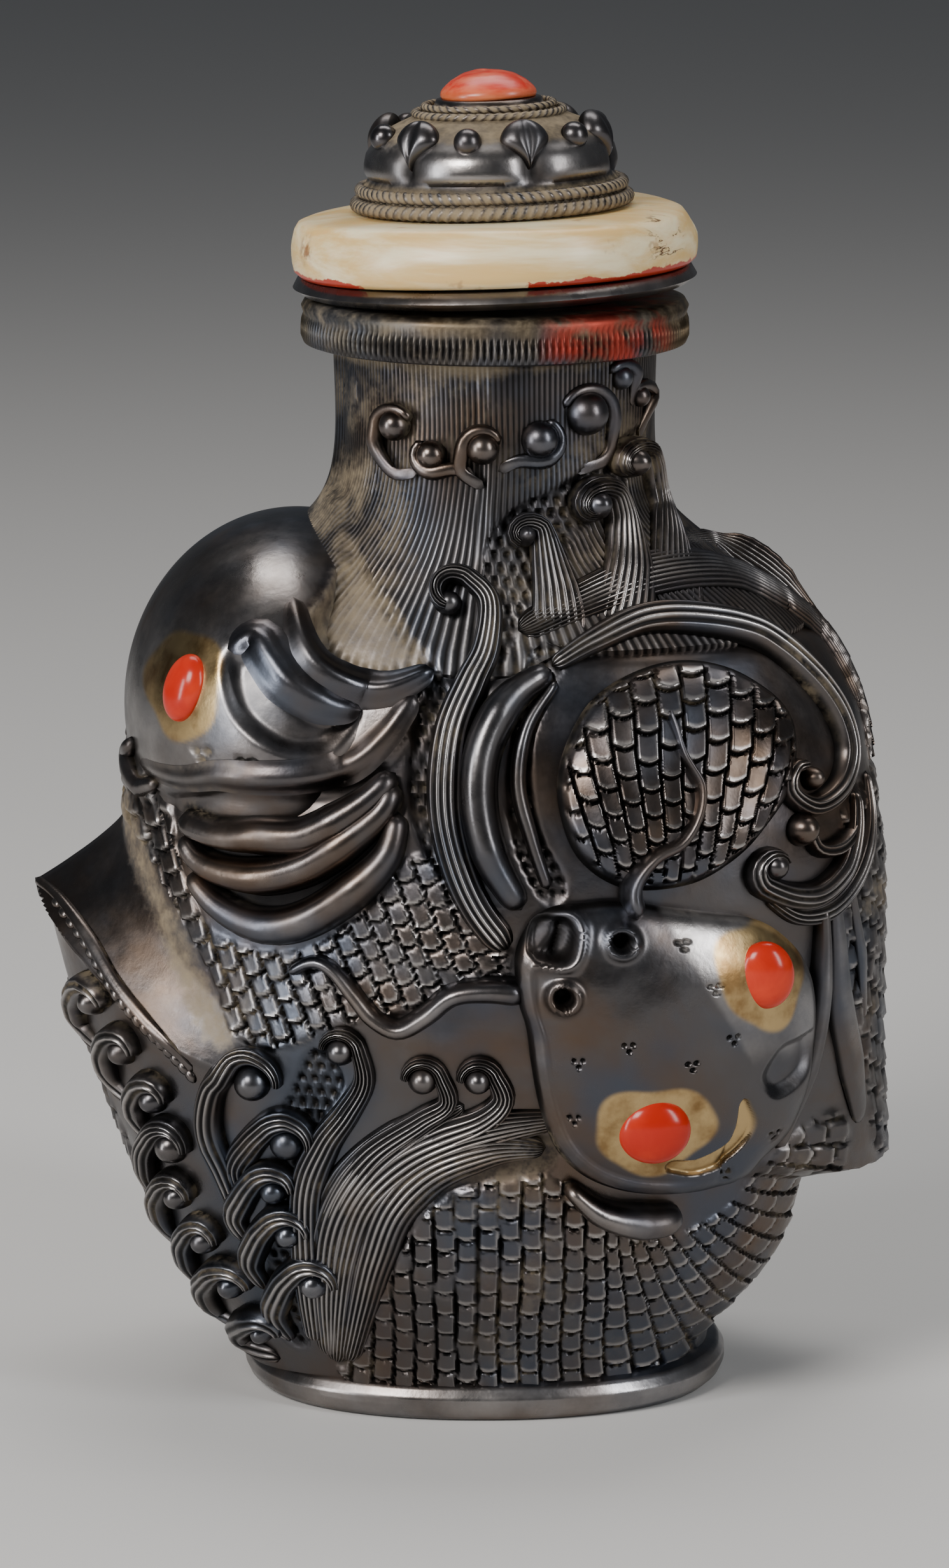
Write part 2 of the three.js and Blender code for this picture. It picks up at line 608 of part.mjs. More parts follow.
// The stopper leans over the ring's left edge and keeps the seat gap there
const stopper = new THREE.Group();
const ringTop = bodyHeight + ringHeight;
stopper.position.set(neckShift, 0, ringTop + seatGap + discRadius * Math.sin(stopperLean));
stopper.rotation.y = -stopperLean;
const stack = [
  { name: 'stopper_disc', solid: stopperDiscSolid(), material: silver, height: discThickness },
  { name: 'bone_disc', solid: boneSolid(), material: bone, height: boneThickness },
  { name: 'finial', solid: finialSolid(), material: silver, height: finialHeight },
  { name: 'top_coral', solid: topCoralSolid(), material: coral, height: coralHeight },
];
let level = 0;
stack.forEach(({ name, solid, material, height }) => {
  const piece = meshOf(name, solid, material);
  piece.position.z = level;
  stopper.add(piece);
  level += height + seatGap;
});
snuffBottle.add(stopper);

export default snuffBottle;
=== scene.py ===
import bpy
import bmesh
import math
import numpy as np
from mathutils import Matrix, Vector


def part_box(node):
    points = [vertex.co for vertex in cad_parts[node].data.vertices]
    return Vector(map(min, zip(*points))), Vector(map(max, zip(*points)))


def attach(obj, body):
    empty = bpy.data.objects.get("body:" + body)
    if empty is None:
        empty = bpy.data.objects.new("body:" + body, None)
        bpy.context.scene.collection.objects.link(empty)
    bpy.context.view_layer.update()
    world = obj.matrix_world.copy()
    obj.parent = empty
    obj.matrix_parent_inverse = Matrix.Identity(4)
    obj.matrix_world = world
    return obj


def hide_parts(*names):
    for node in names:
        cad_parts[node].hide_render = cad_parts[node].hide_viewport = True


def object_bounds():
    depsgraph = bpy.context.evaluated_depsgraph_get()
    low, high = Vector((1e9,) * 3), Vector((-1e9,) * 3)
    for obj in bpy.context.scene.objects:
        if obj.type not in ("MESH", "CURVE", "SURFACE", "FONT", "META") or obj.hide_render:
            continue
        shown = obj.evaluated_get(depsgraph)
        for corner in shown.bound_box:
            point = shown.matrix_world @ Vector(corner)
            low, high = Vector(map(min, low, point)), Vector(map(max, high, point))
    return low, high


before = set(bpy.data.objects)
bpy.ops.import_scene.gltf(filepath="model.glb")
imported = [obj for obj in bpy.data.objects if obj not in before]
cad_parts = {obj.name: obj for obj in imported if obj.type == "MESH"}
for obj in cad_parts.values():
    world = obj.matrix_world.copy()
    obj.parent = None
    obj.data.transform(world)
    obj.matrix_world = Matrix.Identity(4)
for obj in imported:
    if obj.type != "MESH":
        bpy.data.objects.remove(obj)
cadLow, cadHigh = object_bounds()

mm = 0.001  # shapes are worked out in millimetres and written in metres
tau = 2 * math.pi
front = -1
back = 1
print("frame loaded")


# body form
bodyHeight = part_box("bottle")[1].z / mm
bodyForm = {
    "left": 22.0,
    "right": 25.0,
    "depth": 16.8,
    "neckRadius": 9.9,
    "neckShift": 1.25,
    "bore": 7.4,
    # height share, then left, right and depth swell from the neck's size to the belly's
    "outline": [
        (0.02, 0.42, 0.22, 0.19), (0.055, 0.5, 0.27, 0.28), (0.107, 0.69, 0.49, 0.54),
        (0.158, 0.82, 0.62, 0.72), (0.23, 0.9, 0.7, 0.86), (0.306, 0.95, 0.78, 0.94),
        (0.383, 0.99, 0.87, 0.99), (0.459, 1.0, 0.95, 1.0), (0.536, 0.99, 1.0, 0.97),
        (0.634, 0.95, 0.94, 0.84), (0.683, 0.88, 0.86, 0.71), (0.732, 0.73, 0.71, 0.51),
        (0.766, 0.56, 0.55, 0.35), (0.806, 0.31, 0.29, 0.17), (0.851, 0.08, 0.06, 0.03),
        (0.9, 0.0, 0.0, 0.0), (1.0, 0.0, 0.0, 0.0),
    ],
}
shoulderHead = {
    "x": -11.0, "z": 43.0, "halfWidth": 10.67, "halfDepth": 15.45, "halfHeight": 11.88,
    "boreClear": 7.9,  # the hidden part stays this far from the bore's middle
    "grid": (310, 190),
}
# sweep share from the side's middle, then root, rim and underside heights and reach, as shares
leftTail = {"reach": 5.5, "sweep": 0.95, "side": math.pi, "rows": [
    (0, 0.55, 0.483, 0.15, 1.0), (0.35, 0.51, 0.43, 0.15, 0.62),
    (0.7, 0.44, 0.37, 0.15, 0.34), (1, 0.385, 0.34, 0.16, 0.1)]}
rightTail = {"reach": 5.3, "sweep": 0.8, "side": 0.0, "rows": [
    (0, 0.56, 0.217, 0.20, 1.0), (0.35, 0.55, 0.222, 0.21, 0.7),
    (0.7, 0.52, 0.24, 0.225, 0.35), (1, 0.46, 0.26, 0.24, 0.1)]}


def smoothRow(rows, at, column):
    table = np.array([[row[0], row[column]] for row in rows], float)
    x, y = table[:, 0], table[:, 1]
    at = np.clip(at, x[0], x[-1])
    i = np.clip(np.searchsorted(x, at, side="right") - 1, 0, len(x) - 2)
    low = np.maximum(np.arange(len(x)) - 1, 0)
    high = np.minimum(np.arange(len(x)) + 1, len(x) - 1)
    slope = (y[high] - y[low]) / (x[high] - x[low])
    span = x[i + 1] - x[i]
    t = (at - x[i]) / span
    start = y[i] * (1 + 2 * t) * (1 - t) ** 2 + slope[i] * span * t * (1 - t) ** 2
    end = y[i + 1] * (3 - 2 * t) * t ** 2 - slope[i + 1] * span * (1 - t) * t ** 2
    return start + end


def sectionAt(z):
    up = z / bodyHeight
    swell = [smoothRow(bodyForm["outline"], up, column) for column in (1, 2, 3)]
    neckLeft = bodyForm["neckRadius"] - bodyForm["neckShift"]
    neckRight = bodyForm["neckRadius"] + bodyForm["neckShift"]
    left = -neckLeft - swell[0] * (bodyForm["left"] - neckLeft)
    right = neckRight + swell[1] * (bodyForm["right"] - neckRight)
    depth = bodyForm["neckRadius"] + swell[2] * (bodyForm["depth"] - bodyForm["neckRadius"])
    squareness = 2 + 0.25 * np.clip((0.82 - up) / 0.08, 0, 1)
    return (left + right) / 2, (right - left) / 2, depth, squareness


def tailLift(tail, angle, z):
    offset = np.abs((angle - tail["side"] + math.pi) % tau - math.pi) / tail["sweep"]
    share = np.clip(offset, 0, 1)
    root, rim, under, out = [smoothRow(tail["rows"], share, column) for column in (1, 2, 3, 4)]
    root, rim, under = root * bodyHeight, rim * bodyHeight, under * bodyHeight
    above = np.clip((root - z) / (root - rim), 0, 1) ** 1.25
    below = np.clip((z - under) / (rim - under), 0, 1)
    belly = np.interp(below, [0, 0.4, 0.75, 0.97, 1], [0, 0.36, 0.66, 0.86, 1])
    lift = np.where(z >= rim, above, belly)
    fade = np.clip((1.12 - offset) / 0.12, 0, 1)
    return lift * out * tail["reach"] * fade


def ringPoint(angle, z, inset=0.0):
    middle, halfWidth, halfDepth, squareness = sectionAt(z)
    c, s = np.cos(angle), np.sin(angle)
    x = middle + (halfWidth - inset) * np.sign(c) * np.abs(c) ** (2 / squareness)
    y = (halfDepth - inset) * np.sign(s) * np.abs(s) ** (2 / squareness)
    return np.stack([x, y, z + 0 * x], -1)


def bodyPoint(angle, z):
    point = ringPoint(angle, z)
    lift = tailLift(leftTail, angle, z) + tailLift(rightTail, angle, z)
    point[..., 0] += lift * np.cos(angle)
    point[..., 1] += lift * np.sin(angle)
    return point


# a map of how deep the carved face lies in front of the middle plane, and its slopes
mapStep = 0.2
steepest = 4  # the steepest slope that a feature on the body follows
mapX = np.arange(-29, 28, mapStep)
mapZ = np.arange(0, bodyHeight, mapStep)


def bodyDepths():
    angles = np.linspace(math.pi, tau, 400)
    rows = []
    for z in mapZ:
        ring = bodyPoint(angles, np.full_like(angles, z))
        order = np.argsort(ring[:, 0])
        rows.append(np.interp(mapX, ring[order, 0], -ring[order, 1]))
    return np.array(rows)


def headDepths():
    offX = (mapX[None, :] - shoulderHead["x"]) / shoulderHead["halfWidth"]
    offZ = (mapZ[:, None] - shoulderHead["z"]) / shoulderHead["halfHeight"]
    return shoulderHead["halfDepth"] * np.sqrt(np.maximum(1 - offX ** 2 - offZ ** 2, 0))


def makeFace(depth):
    smooth = depth.copy()
    for _ in range(2):
        smooth[1:-1, 1:-1] = (smooth[1:-1, 1:-1] * 2 + smooth[:-2, 1:-1] + smooth[2:, 1:-1]
                              + smooth[1:-1, :-2] + smooth[1:-1, 2:]) / 6
    slopeZ, slopeX = np.gradient(smooth, mapStep)
    return {"depth": depth, "slopeX": slopeX, "slopeZ": slopeZ}


def readMap(grid, x, z):
    u = np.clip((x - mapX[0]) / mapStep, 0, len(mapX) - 1.001)
    v = np.clip((z - mapZ[0]) / mapStep, 0, len(mapZ) - 1.001)
    i, j = u.astype(int), v.astype(int)
    fu, fv = u - i, v - j
    low = grid[j, i] * (1 - fu) + grid[j, i + 1] * fu
    high = grid[j + 1, i] * (1 - fu) + grid[j + 1, i + 1] * fu
    return low * (1 - fv) + high * fv


def seat(x, z, side, lift=0.0):
    # a place on the carved face, or mirrored on the back, and the way it faces
    x, z = np.asarray(x, float), np.asarray(z, float)
    depth = readMap(bodyFace["depth"], x, z)
    slopeX = np.clip(readMap(bodyFace["slopeX"], x, z), -steepest, steepest)
    slopeZ = np.clip(readMap(bodyFace["slopeZ"], x, z), -steepest, steepest)
    normal = np.stack([-slopeX, side * np.ones_like(x), -slopeZ], -1)
    normal /= np.linalg.norm(normal, axis=-1, keepdims=True)
    point = np.stack([x, side * depth, z], -1)
    return point + normal * np.asarray(lift)[..., None], normal


bodyFace = makeFace(np.maximum(bodyDepths(), headDepths()))
print("body form ready")


# outlines and noise
def smoothPath(points, samples, closed=False):
    points = np.array(points, float)
    if closed:
        points = np.vstack([points[-1:], points, points[:2]])
    else:
        points = np.vstack([2 * points[0] - points[1], points, 2 * points[-1] - points[-2]])
    fine = []
    for i in range(1, len(points) - 2):
        t = np.linspace(0, 1, 24, endpoint=False)[:, None]
        a, b, c, d = points[i - 1:i + 3]
        fine.append(0.5 * (2 * b + (c - a) * t + (2 * a - 5 * b + 4 * c - d) * t ** 2
                           + (3 * b - a - 3 * c + d) * t ** 3))
    fine = np.vstack(fine + [points[-2:-1]])
    reach = np.concatenate([[0], np.cumsum(np.linalg.norm(np.diff(fine, axis=0), axis=1))])
    spots = np.linspace(0, reach[-1], samples)
    return np.stack([np.interp(spots, reach, fine[:, k]) for k in range(fine.shape[1])], -1), reach[-1]


def segmentsNear(x, z, points):
    # distance to a line of points, which segment is nearest and where along it
    best = np.full(len(x), 1e9)
    along = np.zeros(len(x))
    inside = np.zeros(len(x), bool)
    for i, ((ax, az), (bx, bz)) in enumerate(zip(points[:-1], points[1:])):
        dx, dz = bx - ax, bz - az
        t = np.clip(((x - ax) * dx + (z - az) * dz) / max(dx * dx + dz * dz, 1e-9), 0, 1)
        away = np.hypot(x - ax - t * dx, z - az - t * dz)
        closer = away < best
        best[closer] = away[closer]
        along[closer] = (i + t[closer]) / (len(points) - 1)
        inside ^= ((az > z) != (bz > z)) & (x < dx * (z - az) / (dz if dz else 1e-9) + ax)
    return best, along, inside


def nearPoints(x, z, points, margin):
    low, high = points.min(axis=0) - margin, points.max(axis=0) + margin
    return (x > low[0]) & (x < high[0]) & (z > low[1]) & (z < high[1])


def insideBy(x, z, outline, margin=1.6):
    # how far inside an outline, and minus the margin well outside it
    points, _ = smoothPath(outline, 60, closed=True)
    result = np.full(len(x), -margin)
    near = nearPoints(x, z, points, margin)
    best, _, inside = segmentsNear(x[near], z[near], points)
    result[near] = np.where(inside, best, np.maximum(-best, -margin))
    return result


def nearBy(x, z, route, margin=1.6):
    points, _ = smoothPath(route, 40)
    best, along = np.full(len(x), margin), np.zeros(len(x))
    near = nearPoints(x, z, points, margin)
    best[near], along[near], _ = segmentsNear(x[near], z[near], points)
    return np.minimum(best, margin), along


def ramp(value, low, high):
    t = np.clip((value - low) / (high - low), 0, 1)
    return t * t * (3 - 2 * t)


def ripple(x, y, z, pitch, seed=0.0):
    # a smooth unevenness between -1 and 1
    a, b, c = x / pitch + seed, y / pitch - 1.7 * seed, z / pitch + 0.6 * seed
    first = np.sin(a * 1.3 + 2 * np.sin(b * 0.9 + c * 0.4))
    second = np.sin(b * 1.1 + 2 * np.sin(c * 1.2 + a * 0.7))
    third = np.sin(c * 1.5 + 2 * np.sin(a * 0.8 - b * 0.5))
    return (first + second + third) / 3


# mesh building
markNames = ("worn", "sunk", "gilt", "dusty")


def makePiece(name, parts, material, nodes, sharp=50):
    # each part is a grid wrapped round: closed at its two ends, or joined end to end as a tube
    whole = bmesh.new()
    allMarks = {mark: [] for mark in markNames}
    for columns, rows, place, *kind in parts:
        bm = bmesh.new()
        bmesh.ops.create_grid(bm, x_segments=columns, y_segments=rows, size=1)
        part = bpy.data.meshes.new("part")
        bm.to_mesh(part)
        bm.free()
        corners = np.empty(len(part.vertices) * 3)
        part.vertices.foreach_get("co", corners)
        corners = corners.reshape(-1, 3)
        turn = np.round((corners[:, 0] + 1) / 2 * columns) / columns % 1
        along = np.round((corners[:, 1] + 1) / 2 * rows) / rows
        if kind:
            along = along % 1
        else:
            turn = np.where((along == 0) | (along == 1), 0, turn)
        points, marks = place(turn, along)
        part.vertices.foreach_set("co", (points * mm).ravel())
        whole.from_mesh(part)
        bpy.data.meshes.remove(part)
        for mark in markNames:
            allMarks[mark].append(marks.get(mark, np.zeros(len(turn))))
    mesh = bpy.data.meshes.new(name)
    whole.to_mesh(mesh)
    whole.free()
    for mark in markNames:
        layer = mesh.attributes.new(mark, "FLOAT", "POINT")
        layer.data.foreach_set("value", np.concatenate(allMarks[mark]).astype(np.float32))
    bm = bmesh.new()
    bm.from_mesh(mesh)
    bmesh.ops.remove_doubles(bm, verts=bm.verts, dist=1e-7)
    bmesh.ops.recalc_face_normals(bm, faces=bm.faces)
    bm.to_mesh(mesh)
    bm.free()
    mesh.polygons.foreach_set("use_smooth", [True] * len(mesh.polygons))
    if sharp:
        mesh.set_sharp_from_angle(angle=math.radians(sharp))
    mesh.update()
    piece = bpy.data.objects.new(name, mesh)
    bpy.context.scene.collection.objects.link(piece)
    piece.data.materials.append(material)
    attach(piece, "root")
    for node in nodes:
        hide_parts(node)


# shared shader groups
def newGroup(name, inputs, outputs):
    group = bpy.data.node_groups.new(name, "ShaderNodeTree")
    for label, kind, value in inputs:
        socket = group.interface.new_socket(label, in_out="INPUT", socket_type=kind)
        socket.default_value = value
    for label, kind in outputs:
        group.interface.new_socket(label, in_out="OUTPUT", socket_type=kind)
    return group, group.nodes.new("NodeGroupInput"), group.nodes.new("NodeGroupOutput")


def addNode(tree, kind, settings=None, values=None):
    node = tree.nodes.new(kind)
    for key, value in (settings or {}).items():
        setattr(node, key, value)
    for key, value in (values or {}).items():
        node.inputs[key].default_value = value
    return node


def mathNode(tree, operation, *sources, clamp=False):
    node = addNode(tree, "ShaderNodeMath", {"operation": operation, "use_clamp": clamp})
    for i, source in enumerate(sources):
        if hasattr(source, "is_linked"):
            tree.links.new(source, node.inputs[i])
        else:
            node.inputs[i].default_value = source
    return node.outputs[0]


def rampNode(tree, source, low, high, start=0.0, end=1.0):
    node = addNode(tree, "ShaderNodeMapRange", {"interpolation_type": "SMOOTHSTEP"},
                   {"From Min": low, "From Max": high, "To Min": start, "To Max": end})
    tree.links.new(source, node.inputs["Value"])
    return node.outputs["Result"]


def noiseNode(tree, where, scale, detail=4.0, rough=0.55, distortion=0.0):
    values = {"Scale": scale, "Detail": detail, "Roughness": rough, "Distortion": distortion}
    node = addNode(tree, "ShaderNodeTexNoise", {}, values)
    tree.links.new(where, node.inputs["Vector"])
    return node.outputs["Fac"]


def mixColor(tree, factor, first, second, blend="MIX"):
    node = addNode(tree, "ShaderNodeMix", {"data_type": "RGBA", "blend_type": blend})
    for socket, source in ((node.inputs[0], factor), (node.inputs[6], first), (node.inputs[7], second)):
        if hasattr(source, "is_linked"):
            tree.links.new(source, socket)
        elif isinstance(source, tuple):
            socket.default_value = (*source, 1.0)
        else:
            socket.default_value = source
    return node.outputs[2]


def markNode(tree, name):
    return addNode(tree, "ShaderNodeAttribute", {"attribute_name": name}).outputs["Fac"]


def objectPlace(tree):
    return addNode(tree, "ShaderNodeTexCoord").outputs["Object"]


def axisNode(tree, where, axis):
    node = addNode(tree, "ShaderNodeSeparateXYZ")
    tree.links.new(where, node.inputs[0])
    return node.outputs[axis]


def stretchNode(tree, where, scale):
    node = addNode(tree, "ShaderNodeMapping", {}, {"Scale": scale})
    tree.links.new(where, node.inputs["Vector"])
    return node.outputs[0]


def spotNode(tree, where, at, size):
    away = addNode(tree, "ShaderNodeVectorMath", {"operation": "DISTANCE"})
    tree.links.new(where, away.inputs[0])
    away.inputs[1].default_value = at
    return rampNode(tree, away.outputs["Value"], size, 0.4 * size)


def makeWearGroup():
    # where the metal is rubbed bright: the carved crests and edges, broken up by noise; on the lower head the
    # crest mark also holds a painted sheen on its upper right
    group, given, result = newGroup(
        "rubbed crests",
        [("Crest", "NodeSocketFloat", 0.0), ("Amount", "NodeSocketFloat", 0.5)],
        [("Mask", "NodeSocketFloat")])
    where = objectPlace(group)
    grain = mathNode(group, "MULTIPLY", noiseNode(group, where, 260.0, 5.0, 0.6), 0.5)
    patch = mathNode(group, "MULTIPLY", noiseNode(group, where, 70.0, 3.0, 0.5), 0.7)
    wear = mathNode(group, "ADD", given.outputs["Crest"], grain)
    wear = mathNode(group, "ADD", wear, patch)
    wear = mathNode(group, "ADD", wear, given.outputs["Amount"])
    group.links.new(rampNode(group, wear, 0.95, 1.75), result.inputs["Mask"])
    return group


def makeDustGroup():
    # pale dust and old polish lying in the hollows
    group, given, result = newGroup(
        "dust in hollows",
        [("Hollow", "NodeSocketFloat", 0.0), ("Loose", "NodeSocketFloat", 0.0),
         ("Amount", "NodeSocketFloat", 0.3)],
        [("Mask", "NodeSocketFloat")])
    where = objectPlace(group)
    patch = noiseNode(group, where, 95.0, 4.0, 0.6, 0.4)
    grain = noiseNode(group, where, 900.0, 3.0, 0.7)
    packed = mathNode(group, "MULTIPLY", rampNode(group, patch, 0.48, 0.72), given.outputs["Hollow"])
    packed = mathNode(group, "MULTIPLY", packed, rampNode(group, grain, 0.35, 0.62))
    packed = mathNode(group, "MULTIPLY", packed, given.outputs["Amount"])
    loose = mathNode(group, "ADD", given.outputs["Loose"], mathNode(group, "MULTIPLY", grain, 0.7))
    loose = mathNode(group, "ADD", loose, mathNode(group, "MULTIPLY", patch, 0.4))
    loose = rampNode(group, loose, 0.75, 1.35, 0.0, 0.9)
    group.links.new(mathNode(group, "MAXIMUM", packed, loose, clamp=True), result.inputs["Mask"])
    return group


wearGroup = makeWearGroup()
dustGroup = makeDustGroup()


def useGroup(tree, group, links, values):
    node = addNode(tree, "ShaderNodeGroup", {"node_tree": group}, values)
    for key, source in links.items():
        tree.links.new(source, node.inputs[key])
    return node.outputs["Mask"]


def newMaterial(name, color):
    material = bpy.data.materials.new(name)
    material.use_nodes = True
    material.diffuse_color = (*color, 1)
    tree = material.node_tree
    shader = next(node for node in tree.nodes if node.type == "BSDF_PRINCIPLED")
    return material, tree, shader


silverTones = {
    "mid": (0.105, 0.1, 0.102), "brown": (0.115, 0.08, 0.058), "blue": (0.07, 0.086, 0.115),
    "dark": (0.016, 0.015, 0.015), "bright": (0.5, 0.47, 0.45), "dusty": (0.27, 0.21, 0.13),
    "giltBright": (0.52, 0.37, 0.18), "giltDark": (0.24, 0.14, 0.055),
    "wear": 0.05, "dust": 0.85, "gloss": 0.25, "bump": 0.35, "bumpHeight": 0.00008,
}
milledTones = dict(silverTones, mid=(0.085, 0.072, 0.05), brown=(0.12, 0.085, 0.05),
                   bright=(0.30, 0.25, 0.18), dust=1.0, gloss=0.36, wear=-0.1)


def metalLook(name, metal):
    material, tree, shader = newMaterial(name, metal["mid"])
    where = objectPlace(tree)
    worn, sunk, gilt, loose = [markNode(tree, mark) for mark in markNames]
    wear = useGroup(tree, wearGroup, {"Crest": worn}, {"Amount": metal["wear"]})
    dust = useGroup(tree, dustGroup, {"Hollow": sunk, "Loose": loose}, {"Amount": metal["dust"]})
    brown = rampNode(tree, noiseNode(tree, where, 55.0, 5.0, 0.6, 0.8), 0.38, 0.66)
    blue = rampNode(tree, noiseNode(tree, where, 120.0, 3.0, 0.5), 0.42, 0.66, 0, 0.75)
    tone = mixColor(tree, brown, metal["mid"], metal["brown"])
    tone = mixColor(tree, blue, tone, metal["blue"])
    tone = mixColor(tree, rampNode(tree, sunk, 0.15, 0.8), tone, metal["dark"])
    tone = mixColor(tree, wear, tone, metal["bright"])
    tone = mixColor(tree, dust, tone, metal["dusty"])
    giltPatch = rampNode(tree, noiseNode(tree, where, 420.0), 0.4, 0.7)
    tone = mixColor(tree, gilt, tone, mixColor(tree, giltPatch, metal["giltBright"], metal["giltDark"]))
    tree.links.new(tone, shader.inputs["Base Color"])
    # the hollows are duller than the crests, and dust is duller still
    smear = noiseNode(tree, where, 180.0, 5.0, 0.65)
    smear = rampNode(tree, smear, 0.3, 0.75, metal["gloss"], metal["gloss"] + 0.2)
    rough = mathNode(tree, "MULTIPLY_ADD", rampNode(tree, sunk, 0.1, 0.8), 0.22, smear)
    rough = mathNode(tree, "SUBTRACT", rough, mathNode(tree, "MULTIPLY", wear, 0.08))
    rough = mathNode(tree, "ADD", rough, mathNode(tree, "MULTIPLY", dust, 0.4), clamp=True)
    tree.links.new(rough, shader.inputs["Roughness"])
    tree.links.new(mathNode(tree, "SUBTRACT", 1.0, dust, clamp=True), shader.inputs["Metallic"])
    bump = addNode(tree, "ShaderNodeBump", {}, {"Strength": metal["bump"], "Distance": metal["bumpHeight"]})
    fine = mathNode(tree, "ADD", noiseNode(tree, where, 700.0, 4.0, 0.6), noiseNode(tree, where, 160.0, 2.0))
    tree.links.new(fine, bump.inputs["Height"])
    tree.links.new(bump.outputs["Normal"], shader.inputs["Normal"])
    return material, tree, shader, tone


# red wax rubbed into the ring's teeth, right of the middle
ringWax = {"starts": (0.0035, 0.0055), "ends": (0.0125, 0.0105), "amount": 0.8, "color": (0.36, 0.045, 0.03)}


def milledLook():
    material, tree, shader, tone = metalLook("dull milled silver", milledTones)
    where = objectPlace(tree)
    across = axisNode(tree, where, "X")
    wax = mathNode(tree, "MULTIPLY", rampNode(tree, across, *ringWax["starts"]),
                   rampNode(tree, across, *ringWax["ends"]))
    patch = rampNode(tree, noiseNode(tree, where, 420.0, 4.0, 0.6), 0.38, 0.6)
    wax = mathNode(tree, "MULTIPLY", mathNode(tree, "MULTIPLY", wax, patch), ringWax["amount"])
    tree.links.new(mixColor(tree, wax, tone, ringWax["color"]), shader.inputs["Base Color"])
    return material


coralTones = {"deep": (0.42, 0.016, 0.006), "light": (0.60, 0.045, 0.014), "rough": 0.2}
rubbedTones = {
    "deep": (0.50, 0.02, 0.008), "streak": (0.62, 0.13, 0.07), "edge": (0.5, 0.17, 0.05),
    "edgeHeights": (0.0812, 0.0803), "rough": 0.3,
}


def coralLook():
    material, tree, shader = newMaterial("polished coral", (0.75, 0.09, 0.03))
    cloud = rampNode(tree, noiseNode(tree, objectPlace(tree), 260.0, 4.0, 0.6, 0.6), 0.35, 0.72)
    tone = mixColor(tree, cloud, coralTones["deep"], coralTones["light"])
    tree.links.new(tone, shader.inputs["Base Color"])
    shader.inputs["Roughness"].default_value = coralTones["rough"]
    shader.inputs["Specular IOR Level"].default_value = 0.3
    shader.inputs["Subsurface Weight"].default_value = 0.05
    shader.inputs["Subsurface Scale"].default_value = 0.0006
    return material


def rubbedCoralLook():
    # dull streaks over the crown and a paler, worn edge low down
    material, tree, shader = newMaterial("rubbed coral", (0.7, 0.12, 0.05))
    where = objectPlace(tree)
    streak = noiseNode(tree, stretchNode(tree, where, (0.35, 1.0, 1.6)), 900.0, 4.0, 0.65)
    tone = mixColor(tree, rampNode(tree, streak, 0.35, 0.7), rubbedTones["deep"], rubbedTones["streak"])
    edge = rampNode(tree, axisNode(tree, where, "Z"), *rubbedTones["edgeHeights"], 0, 0.55)
    tree.links.new(mixColor(tree, edge, tone, rubbedTones["edge"]), shader.inputs["Base Color"])
    shader.inputs["Roughness"].default_value = rubbedTones["rough"]
    return material


boneTones = {
    "pale": (0.80, 0.70, 0.46), "amber": (0.66, 0.44, 0.17), "speck": (0.30, 0.15, 0.06),
    "pit": (0.20, 0.07, 0.022), "pitAt": (-0.0101, -0.0052, 0.0716), "pitSize": 0.0013,
    "crack": (0.10, 0.045, 0.02), "crackAt": (0.0118, -0.0062, 0.0724), "crackSize": 0.0026,
    "wax": (0.40, 0.03, 0.01), "waxLeft": (-0.0056, -0.0078), "waxRight": (0.0022, 0.0042),
    "rough": 0.32,
}


def boneLook():
    material, tree, shader = newMaterial("old bone", (0.82, 0.7, 0.46))
    where = objectPlace(tree)
    streak = noiseNode(tree, stretchNode(tree, where, (0.18, 0.6, 1.6)), 420.0, 5.0, 0.62, 0.3)
    tone = mixColor(tree, rampNode(tree, streak, 0.32, 0.66), boneTones["pale"], boneTones["amber"])
    speck = rampNode(tree, noiseNode(tree, where, 520.0, 3.0, 0.6), 0.66, 0.74)
    tone = mixColor(tree, mathNode(tree, "MULTIPLY", speck, 0.5), tone, boneTones["speck"])
    # a brown pit at the left
    ragged = rampNode(tree, noiseNode(tree, where, 700.0, 4.0, 0.6), 0.4, 0.6)
    pit = mathNode(tree, "MULTIPLY", spotNode(tree, where, boneTones["pitAt"], boneTones["pitSize"]), ragged)
    tone = mixColor(tree, mathNode(tree, "MULTIPLY", pit, 0.85), tone, boneTones["pit"])
    # fine dark cracks at the right
    crack = mathNode(tree, "ABSOLUTE", mathNode(tree, "SUBTRACT", streak, 0.5))
    crack = mathNode(tree, "MULTIPLY", rampNode(tree, crack, 0.016, 0.004),
                     spotNode(tree, where, boneTones["crackAt"], boneTones["crackSize"]))
    tone = mixColor(tree, crack, tone, boneTones["crack"])
    # wax low down, most of it at both ends
    across = axisNode(tree, where, "X")
    ends = mathNode(tree, "ADD", rampNode(tree, across, *boneTones["waxLeft"]),
                    rampNode(tree, across, *boneTones["waxRight"]))
    ends = mathNode(tree, "MULTIPLY_ADD", ends, 0.65, 0.3)
    low = mathNode(tree, "MULTIPLY", markNode(tree, "sunk"), ends)
    smear = noiseNode(tree, where, 430.0, 5.0, 0.7)
    wax = mathNode(tree, "ADD", mathNode(tree, "MULTIPLY", low, 0.55), mathNode(tree, "MULTIPLY", smear, 0.8))
    tone = mixColor(tree, rampNode(tree, wax, 0.72, 0.78), tone, boneTones["wax"])
    tree.links.new(tone, shader.inputs["Base Color"])
    shader.inputs["Roughness"].default_value = boneTones["rough"]
    shader.inputs["Subsurface Weight"].default_value = 0.15
    shader.inputs["Subsurface Scale"].default_value = 0.001
    return material


silver = metalLook("oxidised silver", silverTones)[0]
milledSilver = milledLook()
coral = coralLook()
topCoral = rubbedCoralLook()
bone = boneLook()
print("materials built")


